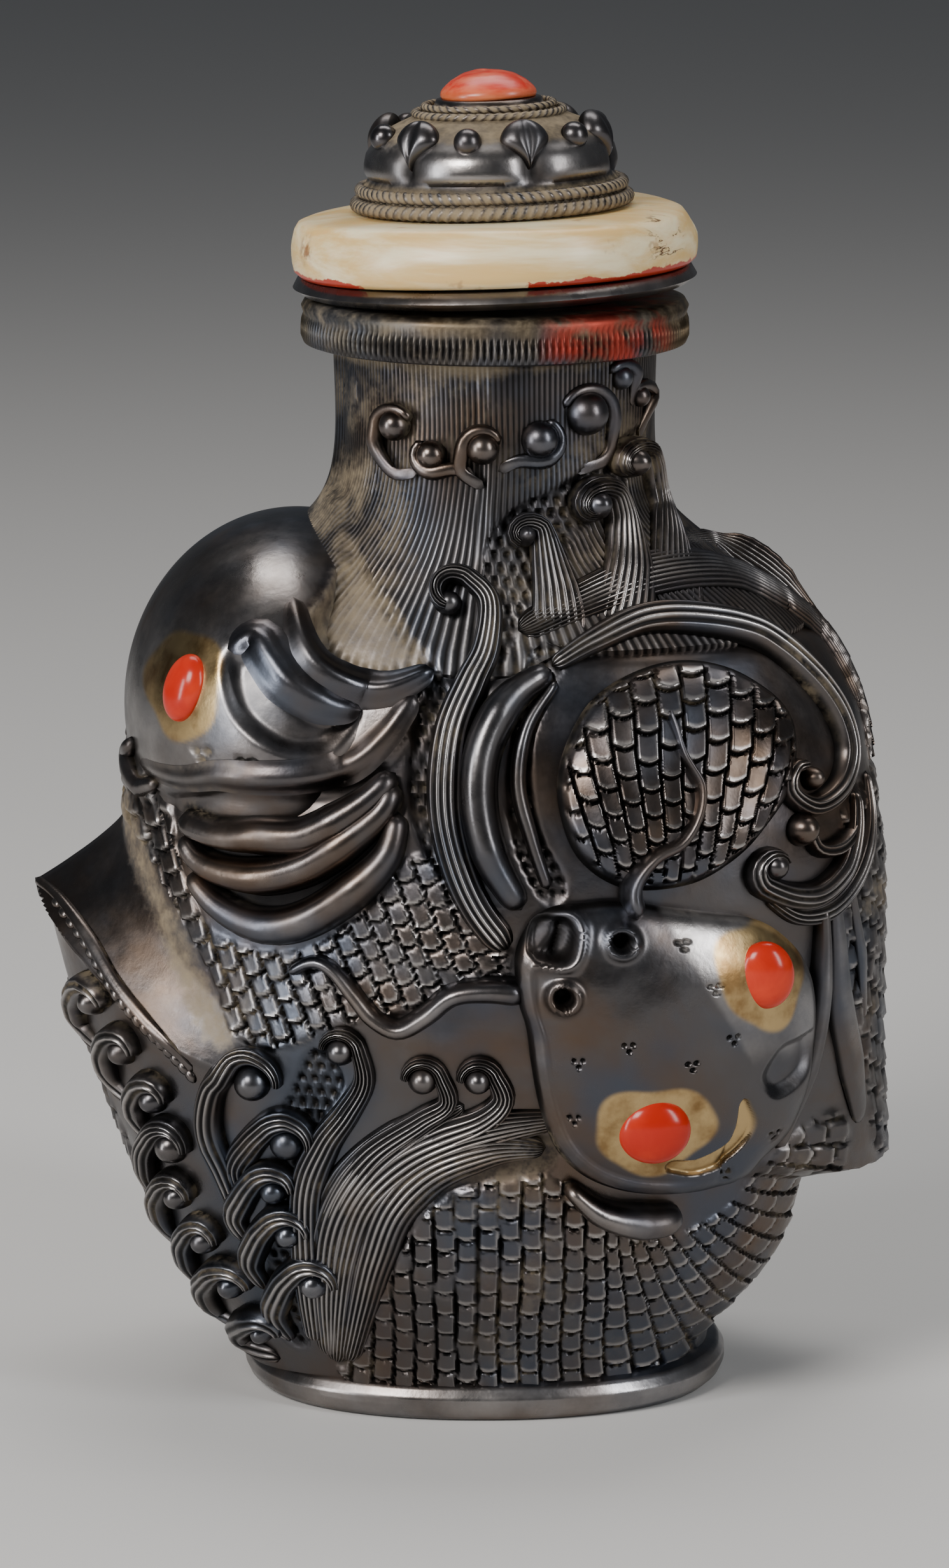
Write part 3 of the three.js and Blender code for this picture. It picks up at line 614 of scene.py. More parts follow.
def capShare(share, start, end):
    # how full a strip is at its two rounded ends
    full = np.sqrt(1 - (1 - np.clip(share / start, 0, 1)) ** 2)
    return full * np.sqrt(1 - (1 - np.clip((1 - share) / end, 0, 1)) ** 2)


def ribbon(route, width, height, side=front, lines=0, groove=0.16, lift=0.0, sink=0.7, fine=1.0, soft=False):
    # a rounded strip along a route of (x, z) places, grooved along its length
    _, length = smoothPath(route, 8)
    rows = int(np.clip(length / 0.33 * fine, 12, 110))
    columns = 12 + 7 * lines
    path, length = smoothPath(route, rows + 1)
    centre, normal = seat(path[:, 0], path[:, 1], side, lift)
    heading = np.gradient(centre, axis=0)
    heading /= np.linalg.norm(heading, axis=1, keepdims=True) + 1e-9
    aside = np.cross(heading, normal)
    aside /= np.linalg.norm(aside, axis=1, keepdims=True) + 1e-9
    share = np.linspace(0, 1, rows + 1)
    halfWidth = np.interp(share, np.linspace(0, 1, len(width)), width)
    rise = np.interp(share, np.linspace(0, 1, len(height)), height)
    full = capShare(share, max(width[0] * 1.3 / length, 0.02), max(width[-1] * 1.3 / length, 0.02))
    top = 0.84  # share of the columns that lie on the shown side

    def place(turn, along):
        row = np.round(along * rows).astype(int)
        onTop = turn <= top
        c = np.where(onTop, 1 - 2 * turn / top, -1 + 2 * (turn - top) / (1 - top))
        arch = 0.5 + 0.5 * np.cos(math.pi * c) if soft else np.sqrt(np.maximum(1 - np.abs(c) ** 2.2, 0))
        cut = 0.5 + 0.5 * np.cos(tau * lines * (c + 1) / 2) if lines else np.zeros_like(c)
        up = rise[row] * arch - groove * cut * ramp(arch, 0, 0.5)
        up = np.where(onTop, up, -sink)
        points = (centre[row] + aside[row] * (c * halfWidth[row] * full[row])[:, None]
                  + normal[row] * (up * full[row])[:, None])
        worn = np.where(onTop, arch ** 2 * (1 - 0.8 * cut) * (0.8 if lines else 0.42), 0)
        foot = (0.25 if soft else 1) * (1 - ramp(arch, 0.1, 0.6))
        sunk = np.where(onTop, np.maximum(cut * 0.8 * (lines > 0), foot), 1)
        return points, {"worn": worn, "sunk": sunk}

    return columns, rows, place


def acrossAndUp(normal, lean):
    # the two ways along a surface, the first leaning by an angle from level
    right = np.array([math.cos(lean), 0, math.sin(lean)])
    right = right - normal * right.dot(normal)
    right /= np.linalg.norm(right)
    return right, np.cross(right, normal)


def bead(x, z, halfX, halfZ, rise, side=front, lean=0.0, columns=20, rows=12):
    point, normal = seat([x], [z], side)
    point, normal = point[0], normal[0]
    right, upward = acrossAndUp(normal, lean)
    upward = upward * (1 if side == front else -1)

    def place(turn, along):
        share = np.sin(along * math.pi)
        up = np.cos(along * math.pi)
        points = (point + right * (np.cos(turn * tau) * share * halfX)[:, None]
                  + upward * (np.sin(turn * tau) * share * halfZ)[:, None] + normal * (up * rise)[:, None])
        return points, {"worn": 0.45 * ramp(up, 0.1, 0.9), "sunk": ramp(-up, -0.5, 0.1)}

    return columns, rows, place


def hookRoute(centre, radius, tail, turns, way, tight=0.45):
    # way 1 winds outwards anticlockwise and -1 clockwise, then runs on along the tail
    centre = np.array(centre, float)
    first = np.array(tail[0], float) - centre
    away = max(np.hypot(*first), radius * 1.02)
    leave = math.atan2(first[1], first[0]) - way * math.acos(radius / away)
    steps = 9
    route = []
    for i in range(steps):
        share = i / (steps - 1)
        angle = leave - way * turns * tau * (1 - share)
        reach = radius * (tight + (1 - tight) * share)
        route.append((centre[0] + reach * math.cos(angle), centre[1] + reach * math.sin(angle)))
    return route + [tuple(p) for p in tail]


def scroll(centre, radius, tail, turns, way, width, height, lines, side=front, boss=0.8, tight=0.45,
           narrow=1.0):
    # a grooved band that curls round a bead
    route = hookRoute(centre, radius, tail, turns, way, tight)
    route = [(centre[0] + narrow * (x - centre[0]), z) for x, z in route]
    return [
        ribbon(route, width, height, side, lines),
        bead(centre[0], centre[1], radius * boss, radius * boss, height[0] * 1.45, side),
    ]


def dome(centre, edge, rise, columns, rows, sink=1.0):
    # edge(angle) is the outline round the centre and rise(share, x, z) the height inside it
    topRows = 0.94  # share of the rows that lie on the shown side

    def place(turn, along):
        angle = turn * tau
        share = np.where(along <= topRows, along / topRows, (1 - along) / (1 - topRows))
        reach = share * edge(angle)
        x, z = centre[0] + reach * np.cos(angle), centre[1] + reach * np.sin(angle)
        lift, marks = rise(share, x, z)
        lift = np.where(along <= topRows, lift, -sink)
        points, _ = seat(x, z, front, lift)
        return points, marks

    return columns, rows, place


def polarEdge(centre, outline):
    points, _ = smoothPath(outline, 200, closed=True)
    off = points[:-1] - np.array(centre)
    angles = np.arctan2(off[:, 1], off[:, 0]) % tau
    order = np.argsort(angles)
    angles, reach = angles[order], np.hypot(off[:, 0], off[:, 1])[order]
    angles = np.concatenate([angles - tau, angles, angles + tau])
    reach = np.tile(reach, 3)

    def edge(angle):
        return np.interp(angle % tau, angles, reach)

    return edge


def scalePattern(along, across, pitch, tilt):
    # columns of overlapping scales, each set half a scale on from its neighbour
    a, b = along / pitch[0], across / pitch[1]
    column = np.floor(b)
    cell = b - column - 0.5
    bowed = a + 0.5 * (column % 2) + 0.7 * cell ** 2
    fall = bowed - np.floor(bowed)
    seam = np.maximum(ramp(fall, 0.88, 0.98), ramp(-fall, -0.07, 0))
    seam = np.maximum(ramp(np.abs(cell), 0.38, 0.49), seam)
    height = tilt * (0.7 * fall + 0.3 * (cell + 0.5)) - tilt * 0.85 * seam
    rim = (0.15 + 0.6 * np.maximum(ramp(fall, 0.62, 0.84), 0.7 * ramp(cell, 0.2, 0.36))) * (1 - seam)
    return height, seam, rim


# carved fields on the body
scaleFields = [
    {"region": [
        (-22.8, 43.5), (-20.5, 40.2), (-18.3, 38.6), (-17.9, 36), (-16.9, 33), (-15.9, 31.3), (-13.2, 30.4),
        (-10.1, 30.8), (-7, 33), (-4, 36.7), (-0.4, 36), (1.6, 32.5), (1.9, 29.2), (-3.6, 27.2), (-8.2, 25.8),
        (-11.7, 24.2), (-14.9, 25), (-15.6, 27.6), (-17.6, 31), (-20.4, 35.4), (-23, 37.5)],
     "flow": "lean", "pitch": (1.4, 1.22)},
    {"region": [
        (-4.3, 12.4), (-1.7, 15.6), (4.4, 17), (9.8, 12.4), (14.9, 13.4), (17, 15.6), (19.6, 18.2),
        (23, 18.5), (22, 11), (19, 3), (10, 1.6), (-6.5, 1.6), (-8.6, 3.4), (-7, 7), (-5.2, 10)],
     "flow": "fan", "pitch": (1.45, 1.3)},
    {"region": [
        (22.6, 38.5), (30, 38), (30, 14), (25.4, 14.2), (23.9, 20), (22.9, 27), (22, 32.5), (22.4, 36)],
     "flow": "side", "pitch": (1.7, 1.5)},
    {"region": [
        (-32, 25.5), (-25.2, 25.5), (-23.3, 20.5), (-21.4, 16), (-20.2, 12.5), (-18.4, 8.6), (-15.8, 4.6),
        (-14.4, 2), (-32, 2)],
     "flow": "side", "pitch": (1.7, 1.5)},
]
fanPivot = (8.0, 19.0)


def flowAt(flow, x, z, angle):
    # the way the scales fall, and the way across them
    if flow == "lean":
        return 0.4 * x - 0.917 * z, 0.917 * x + 0.4 * z
    if flow == "side":
        return -z + 2 * np.sin(angle * 2), angle * 21
    offX, offZ = x - fanPivot[0], fanPivot[1] - z
    around = np.arctan2(offX, np.maximum(offZ, 0.1))
    reach = np.hypot(offX, offZ)
    return np.where(offX > 0, reach, offZ), np.where(offX > 0, around * 12, offX)


dotFields = [
    [(-3.6, 48.6), (-1.6, 45.8), (-2.4, 41.6), (-2.2, 38), (-0.6, 34.5), (-2.8, 36.6), (-4.1, 40.4),
     (-3.6, 44.6)],
    [(0.4, 53.4), (2.2, 56.4), (5.6, 58), (8.4, 60), (10.2, 60.8), (9.2, 57.6), (5.4, 54), (3.2, 50.4),
     (1.2, 47.6)],
    [(3.4, 48.4), (5.6, 48.6), (4.7, 46.6), (3.6, 44), (3.4, 40.8), (4.1, 37.7), (5.6, 34.8), (4.4, 33.6),
     (2.6, 36.4), (1.9, 40.4), (2.4, 44.6)],
    [(-9.7, 24.6), (-7.8, 22.7), (-9.4, 19.6), (-10.6, 15), (-10.2, 8), (-10.4, 4), (-12.6, 6), (-12.4, 16),
     (-11.2, 21.6)],
]
headValley = [
    (-8.2, 54.4), (-8.4, 52.2), (-10, 50.2), (-9.6, 48.3), (-7.6, 46.9), (-5.5, 46.6), (-3.2, 47.5),
    (-4.4, 49.6), (-6.4, 52)]
headCrescent = [
    (-13.3, 49.0), (-14.9, 48.2), (-15, 46.3), (-14.1, 44.4), (-11.8, 42.9), (-9.3, 42.6), (-7.8, 43.5),
    (-6.9, 45), (-8.3, 44.9), (-10.1, 45.7), (-11.8, 47.1), (-12.7, 48.6)]
headOutline = [
    (-9.8, 56.3), (-8.4, 54.7), (-8.3, 52.2), (-10, 50), (-9.6, 48.1), (-7.6, 46.6), (-5.5, 46.3),
    (-2.8, 47.2), (-3.4, 45.1), (-5.5, 42.2), (-7.8, 40.8), (-10.8, 40.5), (-13.9, 40.7), (-17.5, 39.3),
    (-20.4, 38.5), (-24, 41), (-24, 56)]
headDots = [(-16.4, 42.2), (-13.6, 41.9)]
gillGround = [(-17.8, 38.6), (-12, 38), (-6, 41), (-4.4, 40.4), (-5.6, 36), (-10.6, 32.4), (-15, 32.6)]
flangeRoot = [(-22.8, 39.5), (-20.6, 35.2), (-18.6, 31), (-16.6, 26.8), (-15.4, 24.6)]
fanGround = [
    (4.8, 19.6), (-2.6, 19.6), (-6.9, 17.4), (-9.2, 13), (-9, 3.6), (-7.4, 3.4), (-6.2, 8), (-4.4, 12),
    (-2, 15.4), (4.6, 16.8)]
# centre, half sizes and lean of the gilded rings round the eyes
giltRings = [(16.3, 29.3, 2.75, 3.3, 0.3), (10.0, 20.4, 3.3, 2.9, 0.1), (-17.5, 46.0, 2.35, 3.3, -0.3)]


def giltAt(x, z):
    gilt = np.zeros_like(x)
    for cx, cz, halfX, halfZ, lean in giltRings:
        offX, offZ = x - cx, z - cz
        u = (offX * math.cos(lean) + offZ * math.sin(lean)) / halfX
        v = (-offX * math.sin(lean) + offZ * math.cos(lean)) / halfZ
        around = np.arctan2(v, u)
        reach = np.hypot(u, v) + 0.07 * np.sin(3 * around + cx) + 0.05 * np.sin(5 * around)
        gilt = np.maximum(gilt, 1 - ramp(reach, 0.92, 1.04))
    return gilt


def punchedDots(x, z, spots, reach, inner, outer):
    # small punched dots in threes, one in them and nothing outside
    hole = np.zeros_like(x)
    for cx, cz in spots:
        for k in range(3):
            turn = 0.6 + k * tau / 3
            away = np.hypot(x - cx - reach * math.cos(turn), z - cz - reach * math.sin(turn))
            hole = np.maximum(hole, 1 - ramp(away, inner, outer))
    return hole


# depths of the carving in the body, in millimetres
carving = {
    "scaleRise": 0.36, "dotPitch": 0.78, "dotDepth": 0.3, "dotGround": 0.25, "valley": 1.3, "crescent": 0.95,
    "aboveHead": 0.55, "headDot": 0.25, "fan": 0.2, "backScalesTop": 0.56 * bodyHeight,
}


def frontRelief(x, z, angle=None):
    # carved height over the smooth body, and the marks the metal reads
    height = np.zeros_like(x)
    sunk = np.zeros_like(x)
    worn = 0.25 * np.ones_like(x)
    covered = np.zeros_like(x)
    for field in scaleFields:
        if field["flow"] == "side" and angle is None:
            continue
        inside = ramp(insideBy(x, z, field["region"]), 0, 0.3)
        along, across = flowAt(field["flow"], x, z, angle)
        wobble = 0.15 * ripple(x, z, z, 3.1, 1.0)
        tile, seam, rim = scalePattern(along + wobble, across - wobble, field["pitch"], carving["scaleRise"])
        height += inside * tile
        sunk = np.maximum(sunk, inside * np.maximum(seam, 0.2))
        worn = worn * (1 - inside) + inside * rim
        covered = np.maximum(covered, inside)
    pitch = carving["dotPitch"]
    for field in dotFields:
        inside = ramp(insideBy(x, z, field), -0.1, 0.25)
        row = np.round(z / pitch)
        offX = x / pitch + 0.5 * (row % 2)
        away = np.hypot((offX - np.round(offX)) * pitch, z - row * pitch)
        hole = inside * (1 - ramp(away, 0.12, 0.34))
        height -= carving["dotDepth"] * hole + carving["dotGround"] * inside
        sunk = np.maximum(sunk, np.maximum(hole, 0.45 * inside))
    # hollows of the shoulder head, and the ground stepped down above it
    head = insideBy(x, z, headOutline)
    aboveHead = ramp(z, 38, 39.5) * ramp(-x, -1, 0) * ramp(-head, -0.2, 0.6) * (1 - covered)
    valley = ramp(insideBy(x, z, headValley), -0.2, 1.4)
    crescent = ramp(insideBy(x, z, headCrescent), -0.35, 0.9)
    height -= carving["valley"] * valley + carving["crescent"] * crescent + carving["aboveHead"] * aboveHead
    sunk = np.maximum(sunk, 0.35 * np.maximum(valley, crescent))
    sunk = np.maximum(sunk, 0.75 * ramp(insideBy(x, z, gillGround), -0.2, 0.5) * (1 - covered))
    hole = punchedDots(x, z, headDots, 0.4, 0.12, 0.34)
    height -= carving["headDot"] * hole
    sunk = np.maximum(sunk, hole)
    smooth = ramp(head, 0, 1)
    rubbed = (0.52 + 0.12 * ripple(x, z, z, 3.4, 1.5)) * smooth
    worn = np.where(smooth > 0, np.maximum(worn, rubbed), worn)
    # dust by the head, along the flange and on the right edge
    dusty = 0.5 * ramp(insideBy(x, z, headValley), -1.2, 0.3)
    away, _ = nearBy(x, z, flangeRoot, 2.2)
    dusty = np.maximum(dusty, 0.5 * (1 - ramp(away, 0.2, 1.9)))
    patch = ramp(ripple(x, z, z, 2.2, 4), -0.2, 0.7)
    dusty = np.maximum(dusty, 0.42 * ramp(x, 22.5, 24.5) * ramp(z, 18, 22) * patch)
    fan = ramp(insideBy(x, z, fanGround), 0, 0.5)
    height -= carving["fan"] * fan
    sunk = np.maximum(sunk, 0.5 * fan)
    height += 0.06 * ripple(x, z, z, 2.6) + 0.02 * ripple(x, z, z, 1.1, 3)
    return height, {"worn": worn, "sunk": np.clip(sunk, 0, 1), "dusty": dusty}


def backRelief(x, z, angle):
    # the plainer back: rows of scales low down and on the sides, a smooth worn field above
    top = carving["backScalesTop"] + 2.5 * np.sin(angle * 3)
    inside = ramp(top - z, 0, 1.2) * ramp(np.sin(angle), 0.02, 0.12)
    along = -z + 0.2 * np.sin(angle * 7)
    tile, seam, rim = scalePattern(along, angle * 20, (1.7, 1.6), carving["scaleRise"])
    height = inside * tile + 0.05 * ripple(x, angle * 20, z, 2.6)
    return height, {"worn": 0.25 + inside * (rim - 0.25), "sunk": inside * seam}


bodySkin = {
    "seam": 0.06,  # how far the front sheet reaches round past the middle plane
    "top": 51.0,
    "returnShare": 0.86,  # size of the sheet inside the wall against the outer one
    "sideClear": 0.06,  # kept inside the solid part at the right
    "frontGrid": (344, 222),
    "backGrid": (190, 160),
}
# (share, height) and (share, angle) pairs that set where the front's rows and columns are close together
frontLevels = [(0, 1.4), (0.385, 17), (0.5, 24), (0.83, 37.5), (1, bodySkin["top"])]
frontAngles = [(0, math.pi - bodySkin["seam"]), (0.09, math.pi + 0.5), (0.91, tau - 0.5),
               (1, tau + bodySkin["seam"])]
backLevels = [(0, 1.4), (1, bodySkin["top"])]
backAngles = [(0, 0), (1, math.pi)]


def bodySlab(grid, levels, angles, relief, edge):
    # an outer sheet and its return inside the wall
    columns, rows = grid
    shown = 0.91  # share of the columns that lie on the outer sheet
    levels, angles = np.array(levels), np.array(angles)
    high, middleAngle = levels[-1, 1], angles[:, 1].mean()

    def place(turn, along):
        rise = np.clip((along * rows - 1) / (rows - 2), 0, 1)
        z = np.interp(1 - rise, levels[:, 0], levels[:, 1])
        outside = turn <= shown
        share = np.where(outside, turn / shown, (1 - turn) / (1 - shown))
        angle = np.interp(share, angles[:, 0], angles[:, 1])
        bare = bodyPoint(angle, z)
        height, marks = relief(bare[:, 0], z, angle)
        fade = ramp(high - z, 0, 2.2)
        outward = np.stack([np.cos(angle) / 1.35, np.sin(angle), 0 * angle], -1)
        outward /= np.linalg.norm(outward, axis=1, keepdims=True)
        lift = np.where(outside, height * fade - edge * (1 - fade), 0)
        points = bare + outward * lift[:, None]
        middle = sectionAt(z)[0]
        shrink = np.where(outside, 1.0, bodySkin["returnShare"])
        points[:, 0] = middle + (points[:, 0] - middle) * shrink
        points[:, 1] *= shrink
        points[:, 0] = np.minimum(points[:, 0], cadHigh.x / mm - bodySkin["sideClear"])
        pole = (along < 0.5 / rows) | (along > 1 - 0.5 / rows)
        inner = ringPoint(np.full_like(angle, middleAngle), z, 1.5)
        points[pole] = inner[pole]
        return points, {mark: np.where(outside, values, 0) for mark, values in marks.items()}

    return columns, rows, place


def bodyFrontRelief(x, z, angle):
    height, marks = frontRelief(x, z, angle)
    # the neck's lined skin takes over above this level
    under = 0.45 * ramp(z - 1.4 * ramp(x, 1, 4), 46.2, 47.2) + 0.6 * ramp(z, 47.4, 49)
    return np.maximum(height - under, -1.6), marks


frontSlab = bodySlab(bodySkin["frontGrid"], frontLevels, frontAngles, bodyFrontRelief, 1.2)
backSlab = bodySlab(bodySkin["backGrid"], backLevels, backAngles, backRelief, 0.4)
makePiece("body_front", [frontSlab], silver, ["bottle"])
makePiece("body_back", [backSlab], silver, ["bottle"])


def readPairs(pairs, at):
    table = np.array(pairs, float)
    return np.interp(at, table[:, 0], table[:, 1])


# the neck's skin goes down over the shoulder and back up the bore, in steps
neckForm = {
    "lines": 184, "rows": 90, "steps": 120, "outerSteps": 105, "deepest": 0.7, "rightRise": 1.4,
    "heights": [(0, bodyHeight), (1, bodyHeight - 0.1), (104, 46.3), (110, 46.1), (116, bodyHeight - 0.3),
                (120, bodyHeight)],
    "rightRises": [(1, 0), (104, 1), (110, 1), (116, 0)],
    "insets": [(0, 0.15), (1, 0), (100, 0), (104, 0.7), (110, 2.4), (116, 2.5), (119, 2.4), (120, 0.15)],
}


def neckPlace(turn, along):
    step = along * neckForm["steps"]
    angle = turn * tau
    rightward = ramp(np.cos(angle), 0, 0.2) * readPairs(neckForm["rightRises"], step)
    z = readPairs(neckForm["heights"], step) + neckForm["rightRise"] * rightward
    inset = readPairs(neckForm["insets"], step)
    outer = step < neckForm["outerSteps"]
    bare = ringPoint(angle, z)
    height, marks = frontRelief(bare[:, 0], np.where(outer, z, 0), angle)
    facing = ramp(-np.sin(angle), 0.02, 0.2) * outer
    height = np.maximum(height, -neckForm["deepest"]) * facing
    sunk = marks["sunk"] * facing
    # fine lines that sway a little, deeper low down
    plain = 1 - ramp(sunk, 0.1, 0.4)
    sway = 0.9 * np.sin(z * 0.45 + 2 * angle) + 1.2 * np.sin(5 * angle) + 0.5 * np.sin(23 * angle)
    cut = 0.5 + 0.5 * np.cos(neckForm["lines"] * angle + sway)
    depth = 0.02 + 0.06 * ramp(ripple(angle * 12, z, z, 2.6), -0.3, 0.8) + 0.06 * ramp(59 - z, 0, 6)
    lined = ramp(step, 0, 1) * outer * plain
    points = ringPoint(angle, z, inset + cut * depth * lined - height)
    crest = 0.08 + (1 - cut) * (0.12 + 0.3 * ramp(57 - z, 0, 6))
    patch = ramp(ripple(angle * 10, z, z, 4.5, 2), 0.2, 0.8)
    dusty = 0.4 * ramp(z, 64, 65.1) + 0.2 * ramp(-np.cos(angle), 0.3, 0.9) + 0.3 * patch
    dusty = np.maximum(dusty, marks["dusty"]) * outer
    sunk = np.maximum(sunk, (0.2 + 0.6 * cut) * lined)
    return points, {"worn": crest * outer, "sunk": sunk, "dusty": dusty}


neckTube = (neckForm["lines"] * 4, neckForm["rows"], neckPlace, "tube")
makePiece("neck", [neckTube], silver, ["bottle"])

# the profile is (share of the foot's width, height in millimetres), from its top round to its underside
footForm = {
    "middle": 0.6, "halfWidth": 15.2, "halfDepth": 12.2, "squareness": 2.3, "grid": (160, 52),
    "profile": [
        (0, 2.9), (0.5, 2.9), (0.86, 2.8), (0.93, 2.45), (0.975, 2.1), (1.0, 1.5), (1.0, 1.0), (0.985, 0.5),
        (0.955, 0.12), (0.92, 0.0), (0.84, 0.0), (0.8, 0.35), (0.78, 0.6), (0.0, 0.7)],
}


def footPlace(turn, along):
    profile = np.array(footForm["profile"])
    at = along * (len(profile) - 1)
    share = np.interp(at, np.arange(len(profile)), profile[:, 0])
    z = np.interp(at, np.arange(len(profile)), profile[:, 1])
    angle = turn * tau
    c, s = np.cos(angle), np.sin(angle)
    uneven = share * (1 + 0.004 * np.sin(3 * angle + 1) + 0.003 * np.sin(7 * angle) - 0.004)
    power = 2 / footForm["squareness"]
    x = footForm["middle"] + footForm["halfWidth"] * uneven * np.sign(c) * np.abs(c) ** power
    y = footForm["halfDepth"] * uneven * np.sign(s) * np.abs(s) ** power
    marks = {"worn": 0.6 * ramp(share, 0.9, 1.0) * (z < 2.2), "sunk": ramp(z, 2.3, 2.8)}
    return np.stack([x, y, z], -1), marks


makePiece("foot", [(*footForm["grid"], footPlace)], silver, ["bottle"])


def shoulderHeadPlace(turn, along):
    polar, angle = along * math.pi, turn * tau
    outX = np.sin(polar) * np.cos(angle)
    outY = np.sin(polar) * np.sin(angle)
    outZ = np.cos(polar)
    x = shoulderHead["x"] + shoulderHead["halfWidth"] * outX
    y = shoulderHead["halfDepth"] * outY
    z = shoulderHead["z"] + shoulderHead["halfHeight"] * outZ
    height, marks = frontRelief(x, z)
    facing = ramp(np.abs(outY), 0.1, 0.35) * np.where(outY > 0, 0.75, 1.0)
    height = height * facing
    normal = np.stack([outX / shoulderHead["halfWidth"], outY / shoulderHead["halfDepth"],
                       outZ / shoulderHead["halfHeight"]], -1)
    normal /= np.linalg.norm(normal, axis=1, keepdims=True)
    points = np.stack([x, y, z], -1) + normal * height[:, None]
    off = points[:, :2] - np.array([bodyForm["neckShift"], 0])
    away = np.hypot(off[:, 0], off[:, 1])
    points[:, :2] += off * (np.maximum(shoulderHead["boreClear"] / away, 1) - 1)[:, None]
    return points, {"worn": marks["worn"] * (0.4 + 0.6 * facing), "sunk": marks["sunk"] * facing,
                    "gilt": giltAt(x, z), "dusty": marks["dusty"] * facing}


makePiece("head_shoulder", [(*shoulderHead["grid"], shoulderHeadPlace)], silver, ["bottle"])
print("body built")


# smooth strips: gills, folds, horns and barbels, each as its route, half widths and heights
gills = [
    [(-17.4, 38.1), (-15, 37.5), (-10.9, 37.4), (-9, 38), (-6.5, 39.7), (-4.7, 41.5)],
    [(-17.2, 36.9), (-15.9, 35.3), (-12.9, 34.9), (-10, 35.7), (-7.4, 37.5), (-5.5, 39.2), (-4.7, 40.9)],
    [(-16.8, 34.7), (-15, 32.9), (-12.5, 32), (-10.1, 32.5), (-7.4, 34.3), (-5.2, 36.6), (-4.5, 39.2)],
]
headFolds = [
    ([(-14.8, 48.5), (-13.1, 49.3), (-12.2, 48.2), (-11, 46.8), (-8.9, 45.6), (-6.7, 45)],
     (0.7, 1.5, 1.6, 1.4, 0.7), (0.1, 0.75, 0.8, 0.7, 0.25)),
    ([(-10.9, 51.4), (-10, 48.4), (-7.9, 46.7), (-5.4, 46.2), (-2.4, 47.4)],
     (0.6, 1.2, 1.4, 1.2, 0.6), (0.05, 0.7, 0.85, 0.85, 0.4)),
    ([(-20.5, 40.2), (-17.6, 40.4), (-15.5, 41), (-13, 41.1), (-10, 41.3), (-7.4, 41.9), (-5.4, 43.6),
      (-3.6, 46)],
     (0.6, 1.1, 1.2, 0.8), (0.05, 0.5, 0.55, 0.2)),
]
mouthCorner = [(-20.8, 41.6), (-21.1, 40.2), (-20.3, 38.8), (-19.2, 39.6)]
strips = []
for side in (front, back):
    for route in gills:
        strips.append(ribbon(route, (0.7, 1.25, 1.25, 0.7), (1.5, 2.0, 1.9, 0.9), side, sink=1.5))
    for route, width, height in headFolds:
        strips.append(ribbon(route, width, height, side, soft=True))
    strips.append(ribbon(mouthCorner, (0.5, 0.8, 0.5), (0.6, 0.9, 0.5), side))
# the same, with how deep the strip's underside is sunk
frontStrips = [
    ([(4.6, 47.4), (2.2, 45.8), (0.6, 43.2), (0.2, 40.2), (0.9, 36.8), (2.8, 33.4)],
     (0.75, 1.25, 1.25, 1.2, 0.8), (1.1, 2.0, 2.1, 2.0, 1.2), 1.5),
    ([(4.9, 46.8), (3.1, 44.1), (2.6, 40.9), (3.4, 37.6), (4.4, 34.6)],
     (0.3, 0.5, 0.5, 0.35), (0.5, 0.9, 0.8, 0.4), 0.7),
    ([(9.5, 32.8), (9.2, 34.8), (10.3, 36.4), (11.9, 37.3), (12.8, 38.9), (12.9, 40.6), (12, 42.3),
      (11.5, 43.9), (11.1, 44.9)],
     (0.8, 0.55, 0.45, 0.25), (2.6, 2.4, 2.5, 1.9), 0.3),
    ([(3.3, 28.4), (0.8, 28.6), (-1.3, 28.3), (-2.9, 27), (-4.5, 26.1), (-6, 26.8), (-7.1, 28.1),
      (-8.4, 29.6), (-9.6, 30), (-11.1, 29.2)],
     (0.95, 0.7, 0.6, 0.35), (1.6, 1.5, 1.3, 0.9), 0.7),
    ([(5.4, 16.4), (7.5, 14.5), (10.1, 13.7), (12.5, 13.7)],
     (0.5, 0.9, 1.2, 1.0), (1.3, 1.9, 2.1, 1.6), 1.2),
    ([(20.9, 32.4), (20.9, 29), (20.6, 25), (19.8, 21.4), (18.4, 17.2)],
     (0.4, 0.7, 0.8, 0.4), (0.8, 1.2, 1.2, 0.6), 0.7),
    ([(21.7, 34), (21.9, 30), (22.2, 26), (23, 22), (23.9, 17.4)],
     (0.4, 0.8, 1.1, 1.3, 0.8), (0.4, 0.8, 0.9, 0.7, 0.3), 0.7),
    ([(22.9, 33), (23.5, 28.5), (24, 24)],
     (0.3, 0.5, 0.3), (0.3, 0.6, 0.2), 0.7),
    ([(-27.4, 31.7), (-25.6, 31), (-23.6, 29.3), (-22, 27.2), (-20.2, 25.4), (-18.6, 24), (-17, 22.4)],
     (0.3, 0.5, 0.5, 0.3), (0.3, 0.4, 0.35, 0.15), 0.6),
]
for route, width, height, sink in frontStrips:
    strips.append(ribbon(route, width, height, sink=sink))
# small bosses along the left tail's rim
rimBosses = {
    "route": [(-25.8, 30.8), (-23.85, 29.05), (-22.25, 26.95), (-20.45, 25.15), (-18.85, 23.75),
              (-17.2, 22.15)],
    "count": 20, "size": (0.52, 0.36, 0.3), "lean": -0.8,
}
for x, z in smoothPath(rimBosses["route"], rimBosses["count"])[0]:
    strips.append(bead(x, z, *rimBosses["size"], lean=rimBosses["lean"], columns=14, rows=8))
makePiece("smooth_strips", strips, silver, ["bottle"], sharp=70)

